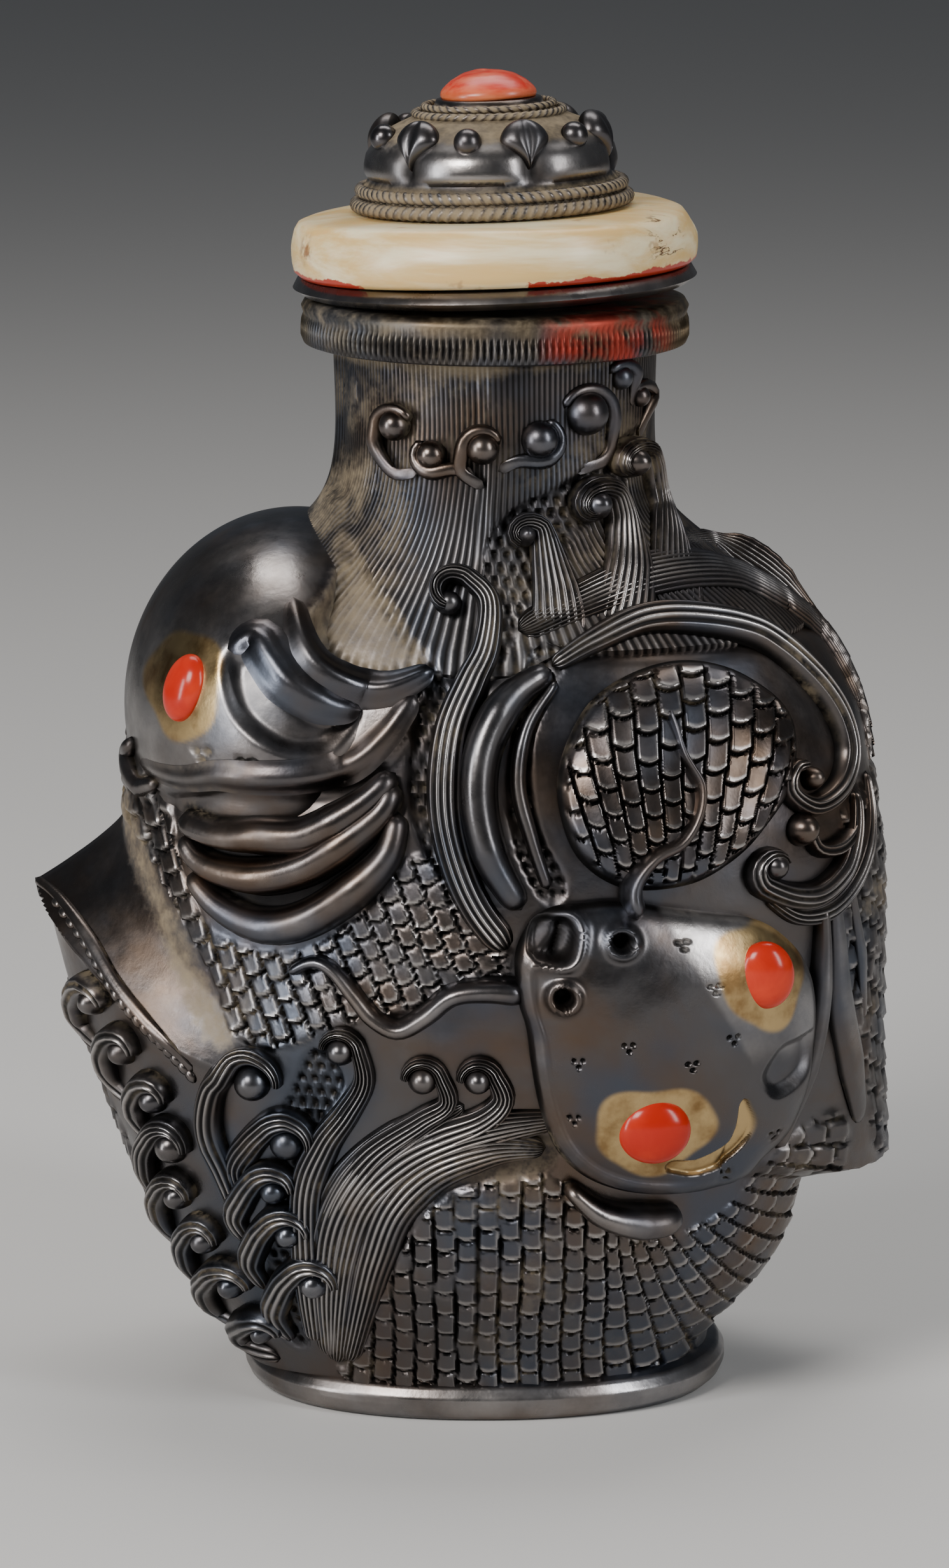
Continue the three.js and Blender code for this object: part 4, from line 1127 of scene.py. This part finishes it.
# grooved bands, curls and beads over the shoulder
neckHook = hookRoute(
    (-1.3, 51.5), 1.45,
    [(0.9, 51.1), (0.7, 48.6), (-0.2, 46.7), (-1.3, 44.2), (-1.7, 41.4), (-1.6, 38.6), (-0.9, 35.8),
     (0.2, 33.4), (2, 31)], 0.62, -1)
curls = [
    ribbon(neckHook, (0.4, 0.7, 1.05, 1.15, 1.1, 1.0), (1.2, 1.3, 1.2, 1.1, 0.9), lines=5, fine=1.3),
    bead(-1.5, 51.1, 0.75, 0.75, 0.9),
]
# centre, radius, tail, turns, half widths, heights, grooves and size of the bead in the curl
maneScrolls = [
    ((3.0, 54.9), 1.0, [(4.5, 53.2), (5.0, 51.2), (5.4, 48.6)],
     0.7, (0.35, 0.8, 1.5, 2.0), (1.2, 1.3, 0.8, -0.5), 7, 0.65),
    ((7.0, 56.5), 1.25, [(9, 54.6), (9.3, 52.6), (9, 50.4), (8.2, 48.6)],
     0.75, (0.35, 0.95, 1.7, 2.1), (1.3, 1.4, 0.8, -0.5), 8, 0.8),
    ((9.2, 58.8), 1.1, [(10.9, 56.6), (11.7, 54.6), (12.2, 52.2), (12.6, 49.8)],
     0.7, (0.35, 0.8, 1.5, 2.0), (1.2, 1.2, 0.7, -0.5), 8, 0.9),
]
for centre, radius, tail, turns, width, height, lines, boss in maneScrolls:
    curls += scroll(centre, radius, tail, turns, -1, width, height, lines, boss=boss)
ridgedArc = [
    (4.6, 47.6), (7, 48.9), (10.1, 50), (13.6, 49.7), (17.1, 48.5), (19.9, 46.1), (21.7, 43.6), (22.4, 41.1),
    (21.8, 39.2), (20.2, 38.5), (18.7, 39.6), (18.9, 40.9), (19.9, 41)]
outerArc = [
    (2.6, 49.6), (6.5, 51.3), (10.5, 52.4), (14.5, 52.1), (18.3, 50.2), (21.4, 47.4), (23.6, 43.6),
    (24.5, 39.4)]
cheekHook = hookRoute(
    (17.8, 35.2), 1.2, [(19, 33.3), (20.6, 33.2), (22.1, 34.3), (22.9, 36.3), (23.1, 38.7)], 0.7, 1)
curls += [
    ribbon(ridgedArc, (0.5, 0.9, 1.1, 1.15, 1.1, 1.0, 0.9, 0.7, 0.4), (0.5, 0.9, 1.2, 1.3, 1.3, 1.2, 1.3),
           lines=4, fine=1.6),
    bead(20.2, 40.1, 0.75, 0.75, 1.2),
    ribbon(outerArc, (0.9, 1.5, 1.7, 1.7, 1.2), (0.2, 0.45, 0.55, 0.5, 0.2), lines=10, sink=0.6),
    ribbon([(12.4, 54), (15.4, 52.8), (18.6, 50.6), (21.2, 47.8), (23.2, 44.6), (24.4, 41)],
           (0.5, 1.3, 1.6, 1.4, 0.6), (0.1, 0.3, 0.35, 0.3, 0.1), lines=9, sink=0.6, groove=0.13, lift=-0.1),
    bead(19.6, 37.2, 1.05, 1.05, 1.5),
    ribbon([(19.9, 37.4), (20.4, 36), (21.6, 35.7), (22.8, 36.4), (23.3, 37.8)],
           (0.35, 0.6, 0.35), (0.9, 1.1, 0.5), lines=2),
    bead(17.8, 35.3, 0.95, 0.95, 1.5),
    ribbon(cheekHook, (0.3, 0.8, 0.9, 0.9, 0.6), (1.2, 1.3, 1.2, 0.6), lines=4),
    ribbon([(17.5, 33.4), (19.4, 32), (21.4, 32), (23.1, 33.6), (24, 36.4), (24, 39.4)],
           (0.4, 0.8, 0.8, 0.5), (0.6, 0.9, 0.9, 0.3), lines=4),
]
makePiece("upper_curls", curls, silver, ["bottle"], sharp=70)

# the lower mane: curls along its top and long bands falling to the foot
curls = []
fanBands = [
    [(4.3, 18.6), (1, 18.6), (-2.6, 17.3), (-5, 14.8), (-6.2, 11.5), (-7, 8), (-7.8, 3.6)],
    [(5.2, 20.4), (2, 20), (-1.2, 19.2), (-4.2, 17.6), (-6.6, 15), (-7.7, 11.6), (-8.2, 8), (-8.5, 3.4)],
    [(-0.6, 21.4), (-3.4, 19.8), (-6.4, 17.2), (-8.4, 13.6), (-9, 9), (-8.9, 3.8)],
]
for route in fanBands:
    curls.append(ribbon(route, (0.6, 1.4, 1.7, 1.55, 1.2, 0.8), (0.5, 0.75, 0.75, 0.65, 0.4), lines=8,
                        fine=1.2, groove=0.12))
# centre, radius, tail, half widths and heights
fanScrolls = [
    ((-8.0, 24.6), 1.1, [(-6.6, 22.8), (-7.6, 20.8), (-9, 18.6), (-10.1, 15.4), (-10.1, 10), (-9.7, 5)],
     (0.3, 0.75, 1.15, 1.1, 0.7), (0.9, 1.1, 0.9, 0.7)),
    ((-3.1, 23.0), 1.1, [(-1.6, 21.6), (-3.2, 20.4), (-6.2, 18), (-8.3, 14.6), (-9.3, 10.6)],
     (0.3, 0.75, 1.2, 1.0), (0.9, 1.1, 0.8, 0.4)),
    ((0.2, 23.0), 1.05, [(1.7, 21.8), (0.4, 20.4), (-2.6, 19), (-5.4, 17)],
     (0.3, 0.75, 1.2, 0.9), (0.9, 1.1, 0.8, 0.4)),
]
for centre, radius, tail, width, height in fanScrolls:
    curls += scroll(centre, radius, tail, 0.5, -1, width, height, 6, boss=0.85, tight=0.95)
# centre, radius, tail and grooves
leftCurls = [
    ((-13.4, 22.2), 1.6, [(-15.7, 21.6), (-16, 19), (-15.2, 16.2), (-14.4, 13)], 4),
    ((-11.3, 18.5), 1.55, [(-13.4, 18.4), (-14.4, 16.6), (-14.2, 14.6)], 5),
    ((-12.1, 15.4), 1.25, [(-13.8, 15), (-14.5, 13.2), (-13.9, 11.4)], 4),
    ((-11.2, 12.6), 1.3, [(-13, 12.2), (-13.6, 10.2), (-12.9, 8.2)], 4),
    ((-9.7, 9.4), 1.35, [(-11.6, 9), (-12.2, 6.8), (-11.4, 4.4)], 4),
    ((-18.4, 17.2), 1.5, [(-20.6, 16.4), (-20.4, 14), (-19, 12)], 5),
    ((-18.0, 13.9), 1.25, [(-19.8, 13), (-19.2, 10.8), (-17.8, 9.4)], 4),
    ((-16.4, 11.2), 1.25, [(-18.2, 10.4), (-17.6, 8), (-16.2, 6.6)], 4),
    ((-14.8, 8.3), 1.25, [(-16.5, 7.4), (-15.8, 5.2), (-14.2, 4)], 4),
    ((-12.9, 5.2), 1.1, [(-14.4, 4.6), (-13.6, 3.2), (-12, 2.8)], 3),
    ((-23.2, 25.6), 1.25, [(-24.9, 25), (-24.4, 23), (-22.8, 21.8)], 3),
    ((-21.3, 22.9), 1.25, [(-23, 22.2), (-22.4, 20.2), (-21, 19)], 3),
    ((-19.4, 20.2), 1.25, [(-21.1, 19.6), (-20.6, 17.8), (-19.4, 16.8)], 3),
]
# the outermost ones sit on a side that turns away, so they are narrower from the front
turnedAway = {"past": -16, "narrow": 0.68}
for centre, radius, tail, lines in leftCurls:
    narrow = turnedAway["narrow"] if centre[0] < turnedAway["past"] else 1.0
    curls += scroll(centre, radius, tail, 0.45, 1, (0.3, 0.85, 1.0, 0.7), (0.9, 1.5, 1.2, 0.2), lines,
                    boss=0.72, tight=0.95, narrow=narrow)
# beads round the neck, each in a thin hook: centre, radius, tail and which way it winds
neckCurls = [
    ((-4.8, 61.3), 0.95, [(-5.9, 59.8), (-4.9, 58.4), (-3.4, 58.6)], 1),
    ((-2.6, 59.7), 0.9, [(-1.2, 58.9), (0, 58.6)], 1),
    ((0.5, 60.2), 1.0, [(-0.8, 58.8), (0.6, 57.8)], 1),
    ((3.9, 60.7), 1.15, [(2.6, 59.4), (1.4, 58.8)], -1),
    ((6.7, 62.1), 1.35, [(8.3, 61), (7.9, 59.2), (6, 58.6)], -1),
    ((8.8, 64.0), 0.75, [(9.6, 63.2), (9.6, 62)], -1),
    ((10.0, 62.6), 0.65, [(10.4, 61.4), (10, 60)], -1),
]
for centre, radius, tail, way in neckCurls:
    route = hookRoute(centre, radius * 1.15, tail, 0.45, way, 0.9)
    curls.append(ribbon(route, (0.25, 0.55, 0.3), (0.3, 0.6, -0.1)))
    curls.append(bead(*centre, radius, radius, 1.05 * radius, columns=28, rows=18))
backCurls = [((-6, 58), 1.5), ((4, 59), 1.5), ((-8, 22), 1.8), ((6, 20), 1.8), ((16, 24), 1.8),
             ((-14, 14), 1.6), ((12, 12), 1.6)]
for centre, radius in backCurls:
    x, z = centre
    tail = [(x + 1.6 * radius, z - radius), (x + 1.2 * radius, z - 3 * radius)]
    curls += scroll(centre, radius, tail, 0.75, -1, (0.35, 0.8, 0.5), (1.1, 1.2, 0.4), 3, side=back)
makePiece("lower_curls", curls, silver, ["bottle"], sharp=70)
print("curls built")


# the lower head
lowerHead = {
    "centre": (11.25, 24.29), "crown": 3.05, "rim": 0.35, "grid": (290, 136), "sink": 1.2,
    "outline": [
        (2.7, 32), (2.3, 30.6), (2.5, 28.2), (3.0, 26.4), (3.3, 24.1), (3.8, 21.4), (4.7, 18.9), (6.1, 17.2),
        (8, 16.1), (10.4, 15.5), (13.6, 15.3), (15.9, 16), (17.5, 17.2), (18.9, 18.6), (19.9, 21.2),
        (20.3, 24.9), (20, 28.2), (18.8, 30.5), (16.7, 32.3), (13.4, 33.1), (10.8, 33.6), (9.4, 33.9),
        (7.9, 34), (6.4, 33.9), (4.9, 33.8), (3.5, 33.2)],
    "mouth": (4.45, 32.0),
    "nostrils": [(5.1, 28.6), (8.4, 31.8)],
    "dots": [(11.8, 31.5), (13.4, 28.9), (5.9, 24.7), (5.7, 21.1), (12, 24.4), (14.3, 25.8), (8.6, 25.7),
             (17.3, 18.9), (14.6, 16.9)],
    "brow": [(17.1, 24.6), (16.1, 22.9), (17.2, 21.4), (19.4, 22.4), (19.9, 24.8), (18.4, 25)],
    "giltGroove": [(15.1, 21.4), (15.4, 19.8), (14.4, 18.4), (12.6, 17.6), (11.2, 17.8)],
}


def lowerMouth(x, z):
    # how deep in the round mouth, on its lip and in its crease a place is
    offX, offZ = x - lowerHead["mouth"][0], z - lowerHead["mouth"][1]
    around = np.arctan2(offZ, offX)
    away = np.hypot(0.8 * offX, 0.86 * offZ) * (1 + 0.06 * np.cos(4 * around + 0.6))
    mouth = 1 - ramp(away, 0.75, 1.3)
    lip = np.exp(-((away - 1.5) / 0.26) ** 2) * ramp(np.cos(around + 0.5), -0.35, 0.15)
    crease = np.exp(-((offX - 0.25 * offZ - 0.35) / 0.22) ** 2)
    height = 0.36 * lip - (0.85 + 0.35 * crease) * mouth - 0.3 * mouth * ramp(offX - offZ, -0.2, 1.2)
    return height, lip, (0.55 + 0.4 * crease) * mouth


def lowerRise(share, x, z):
    rimHeight = lowerHead["rim"]
    height = rimHeight + (lowerHead["crown"] - rimHeight) * np.sqrt(np.maximum(1 - share ** 2.5, 0))
    offX, offZ = x - lowerHead["centre"][0], z - lowerHead["centre"][1]
    angle = np.arctan2(offZ, offX) % tau
    rim = ramp(share, 0.84, 0.9) * (1 - ramp(share, 0.95, 1)) * ramp(np.cos(angle - 3.6), 0.1, 0.5)
    mouthHeight, lip, mouthSunk = lowerMouth(x, z)
    height += rimHeight * rim + mouthHeight
    sunk = ramp(share, 0.93, 1)
    for cx, cz in lowerHead["nostrils"]:
        away = np.hypot(x - cx, z - cz)
        height += 0.45 * np.exp(-((away - 0.8) / 0.28) ** 2) - 1.2 * (1 - ramp(away, 0.25, 0.62))
        sunk = np.maximum(sunk, 1 - ramp(away, 0.3, 0.6))
    hole = punchedDots(x, z, lowerHead["dots"], 0.27, 0.08, 0.2)
    height -= 0.2 * hole
    sunk = np.maximum(sunk, hole)
    brow = ramp(insideBy(x, z, lowerHead["brow"]), -0.2, 0.8)
    away, along = nearBy(x, z, lowerHead["giltGroove"])
    groove = 1 - ramp(away - 0.25 * np.sin(along * math.pi), 0.25, 0.55)
    height -= 0.7 * brow + 0.45 * groove
    height += 0.04 * ripple(x, z, z, 2.2, 4) + 0.03 * ripple(x, z, z, 1.2, 2)
    # painted sheen: the upper right of the lower head is made paler, partly real wear and partly a painted
    # reflection of the lights on that side
    sheenAndWear = ramp(0.905 * (x - 12.2) + 0.424 * (z - 29.7), -0.3, 0.7) * ramp(z, 21.5, 25.5)
    worn = 0.1 + 0.5 * sheenAndWear + 0.25 * rim + 0.3 * lip + 0.1 * brow
    gilt = np.maximum(giltAt(x, z), groove)
    return height, {"worn": worn, "sunk": np.clip(sunk + mouthSunk, 0, 1), "gilt": gilt}


lowerEdge = polarEdge(lowerHead["centre"], lowerHead["outline"])
lowerDome = dome(lowerHead["centre"], lowerEdge, lowerRise, *lowerHead["grid"], sink=lowerHead["sink"])
makePiece("head_lower", [lowerDome], silver, ["bottle"])
# the raised edge of the hollow beside the upper eye
browEdge = [(18.6, 24.9), (17, 24.9), (15.9, 23), (16.8, 21.1)]
browLip = ribbon(browEdge, (0.2, 0.35, 0.2), (2.0, 2.6, 2.2), sink=0.2)
makePiece("lips", [browLip], silver, ["bottle"], sharp=70)

# the scaly dome under the ridged arc
scalyDome = {
    "centre": (12.2, 41.4), "crown": 1.5, "grid": (250, 112), "pitch": (1.55, 1.25), "scaleRise": 0.42,
    "outline": [
        (5.1, 42.3), (6.8, 45.5), (9.7, 47.2), (12.9, 47.6), (16.2, 46.5), (19, 43.9), (19.1, 40.2),
        (17.3, 37.5), (15.4, 35.8), (12.7, 34.6), (8.9, 34.6), (6.2, 36.4), (5.0, 39.4)],
    "fanPivot": (12.0, 20.0),
}


def domeRise(share, x, z):
    height = scalyDome["crown"] * np.sqrt(np.maximum(1 - share ** 3.2, 0))
    offX, offZ = x - scalyDome["fanPivot"][0], z - scalyDome["fanPivot"][1]
    wobble = 0.12 * ripple(x, z, z, 2.7, 2.0)
    along = wobble - z + 0.012 * offX ** 2
    across = np.arctan2(offX, offZ) * 22 - wobble
    tile, seam, rim = scalePattern(along, across, scalyDome["pitch"], scalyDome["scaleRise"])
    inside = 1 - ramp(share, 0.9, 0.98)
    sunk = np.maximum(seam * inside, ramp(share, 0.9, 1))
    return height + inside * tile, {"worn": rim * inside, "sunk": sunk}


scalyEdge = polarEdge(scalyDome["centre"], scalyDome["outline"])
scalyPart = dome(scalyDome["centre"], scalyEdge, domeRise, *scalyDome["grid"])
makePiece("scaly_dome", [scalyPart], silver, ["bottle"])

# coral eyes, seated where the solid ones are: half width, half height, lean and side
eyeForms = {
    "eye_shoulder_front": (1.55, 2.1, -0.3, front),
    "eye_shoulder_back": (1.55, 2.1, -0.3, back),
    "eye_upper": (1.75, 2.1, 0.1, front),
    "eye_lower": (2.2, 2.0, 0.1, front),
}
eyeRise = 1.05
lowerHeadFacing = np.array([0.12, -1.0, -0.05])


def eyePart(node, halfX, halfZ, lean, side):
    low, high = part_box(node)
    centre = np.array((low + high) / 2) / mm
    normal = lowerHeadFacing
    if node.startswith("eye_shoulder"):
        normal = seat([centre[0]], [centre[2]], side)[1][0]
    normal = normal / np.linalg.norm(normal)
    right, upward = acrossAndUp(normal, lean)

    def place(turn, along):
        share, up = np.sin(along * math.pi), np.cos(along * math.pi)
        points = (centre + right * (np.cos(turn * tau) * share * halfX)[:, None]
                  + upward * (np.sin(turn * tau) * share * halfZ)[:, None] + normal * (up * eyeRise)[:, None])
        return points, {"worn": ramp(up, 0, 1)}

    return 64, 32, place


for node, eyeForm in eyeForms.items():
    makePiece(node + "_stone", [eyePart(node, *eyeForm)], coral, [node], sharp=0)
print("heads and eyes built")


# the mouth ring and the stopper, whose profiles are (radius, height) points
neckShift = bodyForm["neckShift"]
stopper = {"lean": math.radians(2), "gap": 0.3, "reach": 12.4}
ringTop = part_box("mouth_ring")[1].z / mm
stopperFoot = ringTop + stopper["gap"] + stopper["reach"] * math.sin(stopper["lean"])


def stopperPlace(points):
    x, y, z = points[..., 0], points[..., 1], points[..., 2]
    c, s = math.cos(stopper["lean"]), math.sin(stopper["lean"])
    return np.stack([neckShift + x * c - z * s, y, stopperFoot + x * s + z * c], -1)


def ringPlace(points):
    return points + np.array([neckShift, 0, bodyHeight])


def turnedPart(grid, profile, detail, stand=stopperPlace, kind=()):
    columns, rows = grid
    profile = np.array(profile, float)
    reach = np.concatenate([[0], np.cumsum(np.linalg.norm(np.diff(profile, axis=0), axis=1))])

    def place(turn, along):
        at = along * reach[-1]
        radius = np.interp(at, reach, profile[:, 0])
        z = np.interp(at, reach, profile[:, 1])
        angle = turn * tau
        radius, z, marks = detail(angle, radius, z)
        return stand(np.stack([radius * np.cos(angle), radius * np.sin(angle), z], -1)), marks

    return columns, rows, place, *kind


bore = bodyForm["bore"]
ringForm = {
    "teeth": 178, "toothDepth": 0.22,
    # a closed ring: both ends of the profile meet at the bore
    "profile": [
        (bore, 1.4), (bore, 0), (11.2, 0), (11.7, 0.12), (11.9, 0.5), (11.9, 1.45), (11.8, 1.72),
        (11.66, 1.84), (11.78, 1.98), (11.88, 2.2), (11.85, 2.5), (11.65, 2.76), (11.3, 2.88), (bore, 2.9),
        (bore, 1.4)],
}


def ringDetail(angle, radius, z):
    band = ramp(z, 0.1, 0.35) * (1 - ramp(z, 1.6, 1.82)) * (radius > 10.5)
    cut = 0.5 + 0.5 * np.cos(ringForm["teeth"] * angle + 0.5 * np.sin(3 * angle))
    marks = {"worn": 0.6 * band * (1 - cut) + (z > 1.9) * 0.3, "sunk": cut * band,
             "dusty": 0.25 * band + 0.35 * (z > 1.8)}
    return radius - ringForm["toothDepth"] * cut * band, z, marks


ringGrid = (ringForm["teeth"] * 4, 30)
ringPart = turnedPart(ringGrid, ringForm["profile"], ringDetail, ringPlace, ("tube",))
makePiece("milled_ring", [ringPart], milledSilver, ["mouth_ring"], sharp=60)

plug = 6.7  # radius of the plug under the disc
discForm = {
    "grid": (120, 36),
    "profile": [
        (0, 0.9), (11.8, 0.9), (12.1, 0.86), (12.3, 0.72), (12.38, 0.5), (12.36, 0.25), (12.2, 0),
        (11.9, -0.15), (11.5, -0.22), (plug, -0.22), (plug, -3.5), (plug - 0.5, -4), (0, -4)],
}


def discDetail(angle, radius, z):
    return radius, z, {"worn": 0.15 + 0.4 * (radius > 11.8)}


discPart = turnedPart(discForm["grid"], discForm["profile"], discDetail)
makePiece("thin_disc", [discPart], silver, ["stopper_disc"], sharp=60)

boneForm = {
    "grid": (160, 60),
    "profile": [
        (0, 4.6), (11.3, 4.6), (11.8, 4.55), (12.08, 4.4), (12.24, 4.1), (12.42, 3.3), (12.5, 2.6),
        (12.48, 1.9), (12.38, 1.3), (12.22, 1.05), (11.9, 0.95), (0, 0.95)],
}


def boneDetail(angle, radius, z):
    edge = ramp(radius, 9, 12)
    uneven = 0.12 * np.sin(2 * angle + 0.8) + 0.07 * np.sin(5 * angle + 2) - 0.16
    top = ramp(z, 2.4, 4.4)
    radius = radius + edge * (uneven - 0.2 * top * (1 + np.sin(angle * 3 + 1)))
    z = z - 0.14 * top * edge * (1 + np.sin(2 * angle + 2.4))
    z = z + 0.05 * (1 - top) * edge * (1 + np.sin(3 * angle))
    return radius, z, {"sunk": 1 - ramp(z, 1.0, 2.1)}


bonePart = turnedPart(boneForm["grid"], boneForm["profile"], boneDetail)
makePiece("bone_slice", [bonePart], bone, ["bone_disc"], sharp=0)

finialForm = {
    "turn": 0.6, "grid": (170, 64), "beads": 6,
    "profile": [
        (0, 11.4), (3.1, 11.4), (3.3, 11.25), (3.3, 10.9), (3.6, 10.75), (4.3, 10.5), (5.2, 10.1), (6.2, 9.7),
        (6.7, 9.2), (7.0, 8.8), (7.35, 8.3), (7.5, 7.7), (7.55, 7.1), (7.5, 6.7), (7.6, 6.5), (8.0, 6.2),
        (8.0, 4.65), (0, 4.65)],
    # radius, height, thickness, strands and which way they turn
    "ropes": [(8.2, 5.15, 0.44, 84, 1), (7.95, 6.0, 0.38, 84, -1), (4.5, 10.55, 0.24, 50, 1),
              (3.9, 10.95, 0.22, 40, -1)],
    "ropeGrid": (420, 12),
}


def finialDetail(angle, radius, z):
    # six shallow lobes low down, with creases between them
    petal = np.abs(np.sin(finialForm["beads"] / 2 * angle + finialForm["turn"]))
    low = ramp(z, 6.7, 7.2) * (1 - ramp(z, 8.6, 9.6))
    radius = radius + 0.3 * low * petal ** 0.6 - 0.4 * low * (1 - petal) ** 3
    worn = 0.35 + 0.3 * low * petal
    sunk = np.maximum(ramp(z, 8.4, 9.2) * (1 - ramp(z, 10.7, 11.0)) * 0.7, low * (1 - petal) ** 3)
    dusty = 0.6 * ramp(z, 8.7, 9.4) * (1 - ramp(z, 11.0, 11.2)) + 0.5 * (1 - ramp(z, 6.5, 7.0))
    return radius, z, {"worn": worn, "sunk": np.maximum(sunk, (1 - ramp(z, 6.4, 6.9)) * 0.8), "dusty": dusty}


def ropePart(ringAt, level, thick, strands, handed):
    columns, rows = finialForm["ropeGrid"]

    def place(turn, along):
        angle = turn * tau
        around = along * tau
        bulge = 1 + 0.14 * np.cos(2 * around + handed * strands * angle)
        radius = ringAt + thick * bulge * -np.cos(around)
        z = level + thick * bulge * np.sin(around) * 0.95
        points = np.stack([radius * np.cos(angle), radius * np.sin(angle), z], -1)
        marks = {"worn": ramp(bulge, 1.0, 1.14) * 0.4, "sunk": 1 - ramp(bulge, 0.86, 1.0),
                 "dusty": 0.6 - 2 * (bulge - 1)}
        return stopperPlace(points), marks

    return columns, rows, place, "tube"


def bossPart(angle, radius, level, size, long=1.0, wide=1.0, tip=0.0, columns=28, rows=18):
    outward = np.array([math.cos(angle), math.sin(angle), 0.35])
    outward /= np.linalg.norm(outward)
    aside = np.array([-math.sin(angle), math.cos(angle), 0])
    upward = np.cross(outward, aside)
    centre = np.array([radius * math.cos(angle), radius * math.sin(angle), level])

    def place(turn, along):
        up = np.cos(along * math.pi)
        share = np.sin(along * math.pi)
        narrow = 1 - tip * ramp(-up, -0.3, 1.0)
        crease = 1 - 0.3 * tip * np.exp(-(np.sin(turn * tau) / 0.25) ** 2)
        points = (centre + upward * (up * size * long)[:, None]
                  + aside * (np.sin(turn * tau) * share * size * wide * narrow)[:, None]
                  + outward * (np.cos(turn * tau) * share * size * crease)[:, None])
        out = np.cos(turn * tau)
        return stopperPlace(points), {"worn": 0.1 + 0.2 * out, "sunk": 1 - ramp(out, -0.4, 0.1)}

    return columns, rows, place


finialParts = [turnedPart(finialForm["grid"], finialForm["profile"], finialDetail)]
finialParts += [ropePart(*rope) for rope in finialForm["ropes"]]
for i in range(finialForm["beads"]):
    beadAngle = (math.pi / 2 - finialForm["turn"] + i * math.pi) / 3
    finialParts.append(bossPart(beadAngle, 6.75, 9.3, 0.85))
    leafAngle = (i * math.pi - finialForm["turn"]) / 3
    finialParts.append(bossPart(leafAngle, 6.55, 9.0, 1.05, 1.5, 1.5, 0.85, 40, 28))
makePiece("finial_carved", finialParts, silver, ["finial"], sharp=60)

topStone = {
    "grid": (72, 30),
    "profile": [
        (0, 13.08), (0.8, 13.05), (1.6, 12.85), (2.3, 12.45), (2.75, 12.05), (2.95, 11.75), (2.9, 11.45),
        (0, 11.4)],
}


def stoneDetail(angle, radius, z):
    marks = {"sunk": 1 - ramp(z, 11.8, 12.3)}
    return radius * (1 - 0.02 * np.sin(3 * angle)), z - 0.04 * (1 + np.sin(2 * angle)), marks


topPart = turnedPart(topStone["grid"], topStone["profile"], stoneDetail)
makePiece("top_stone", [topPart], topCoral, ["top_coral"], sharp=0)
print("stopper built")


# floor, light and camera
floorForm = {"halfSize": 30.0, "color": (0.6, 0.59, 0.575), "rough": 0.9}
floorLook, _, floorShader = newMaterial("pale floor", floorForm["color"])
floorShader.inputs["Base Color"].default_value = (*floorForm["color"], 1)
floorShader.inputs["Roughness"].default_value = floorForm["rough"]
bm = bmesh.new()
bmesh.ops.create_grid(bm, x_segments=1, y_segments=1, size=floorForm["halfSize"])
floorMesh = bpy.data.meshes.new("floor")
bm.to_mesh(floorMesh)
bm.free()
floor = bpy.data.objects.new("floor", floorMesh)
bpy.context.scene.collection.objects.link(floor)
floorMesh.materials.append(floorLook)

room = {"color": (0.62, 0.66, 0.72, 1), "strength": 0.12, "aim": (0, 0, 0.04)}
world = bpy.data.worlds.new("soft room")
bpy.context.scene.world = world
world.use_nodes = True
worldShade = next(node for node in world.node_tree.nodes if node.type == "BACKGROUND")
worldShade.inputs["Color"].default_value = room["color"]
worldShade.inputs["Strength"].default_value = room["strength"]

lights = {
    "key": {"at": (-0.24, -0.34, 0.32), "size": (0.16, 0.16), "power": 2.0, "color": (1.0, 0.97, 0.94)},
    "right": {"at": (0.32, -0.24, 0.20), "size": (0.07, 0.26), "power": 0.9, "color": (0.96, 0.98, 1.0)},
    "left": {"at": (-0.34, -0.22, 0.10), "size": (0.06, 0.24), "power": 0.8, "color": (0.96, 0.98, 1.0)},
    "top": {"at": (0.02, 0.12, 0.42), "size": (0.34, 0.16), "power": 0.9, "color": (1.0, 0.98, 0.96)},
}
for name, lamp in lights.items():
    data = bpy.data.lights.new(name + " softbox", "AREA")
    data.shape = "RECTANGLE"
    data.size, data.size_y = lamp["size"]
    data.energy = lamp["power"]
    data.color = lamp["color"]
    holder = bpy.data.objects.new(name + " softbox", data)
    holder.location = lamp["at"]
    aim = Vector(room["aim"]) - holder.location
    holder.rotation_euler = aim.to_track_quat("-Z", "Y").to_euler()
    bpy.context.scene.collection.objects.link(holder)

view = {"at": (0, -0.380, 0.116), "pitch": 78.35, "lens": 143.3, "sensor": 36, "near": 0.01, "far": 80}
cameraData = bpy.data.cameras.new("camera")
cameraData.lens = view["lens"]
cameraData.sensor_width = view["sensor"]
cameraData.clip_start = view["near"]
cameraData.clip_end = view["far"]
camera = bpy.data.objects.new("camera", cameraData)
camera.location = view["at"]
camera.rotation_euler = (math.radians(view["pitch"]), 0, 0)
bpy.context.scene.collection.objects.link(camera)
bpy.context.scene.camera = camera
print("lights and camera set")
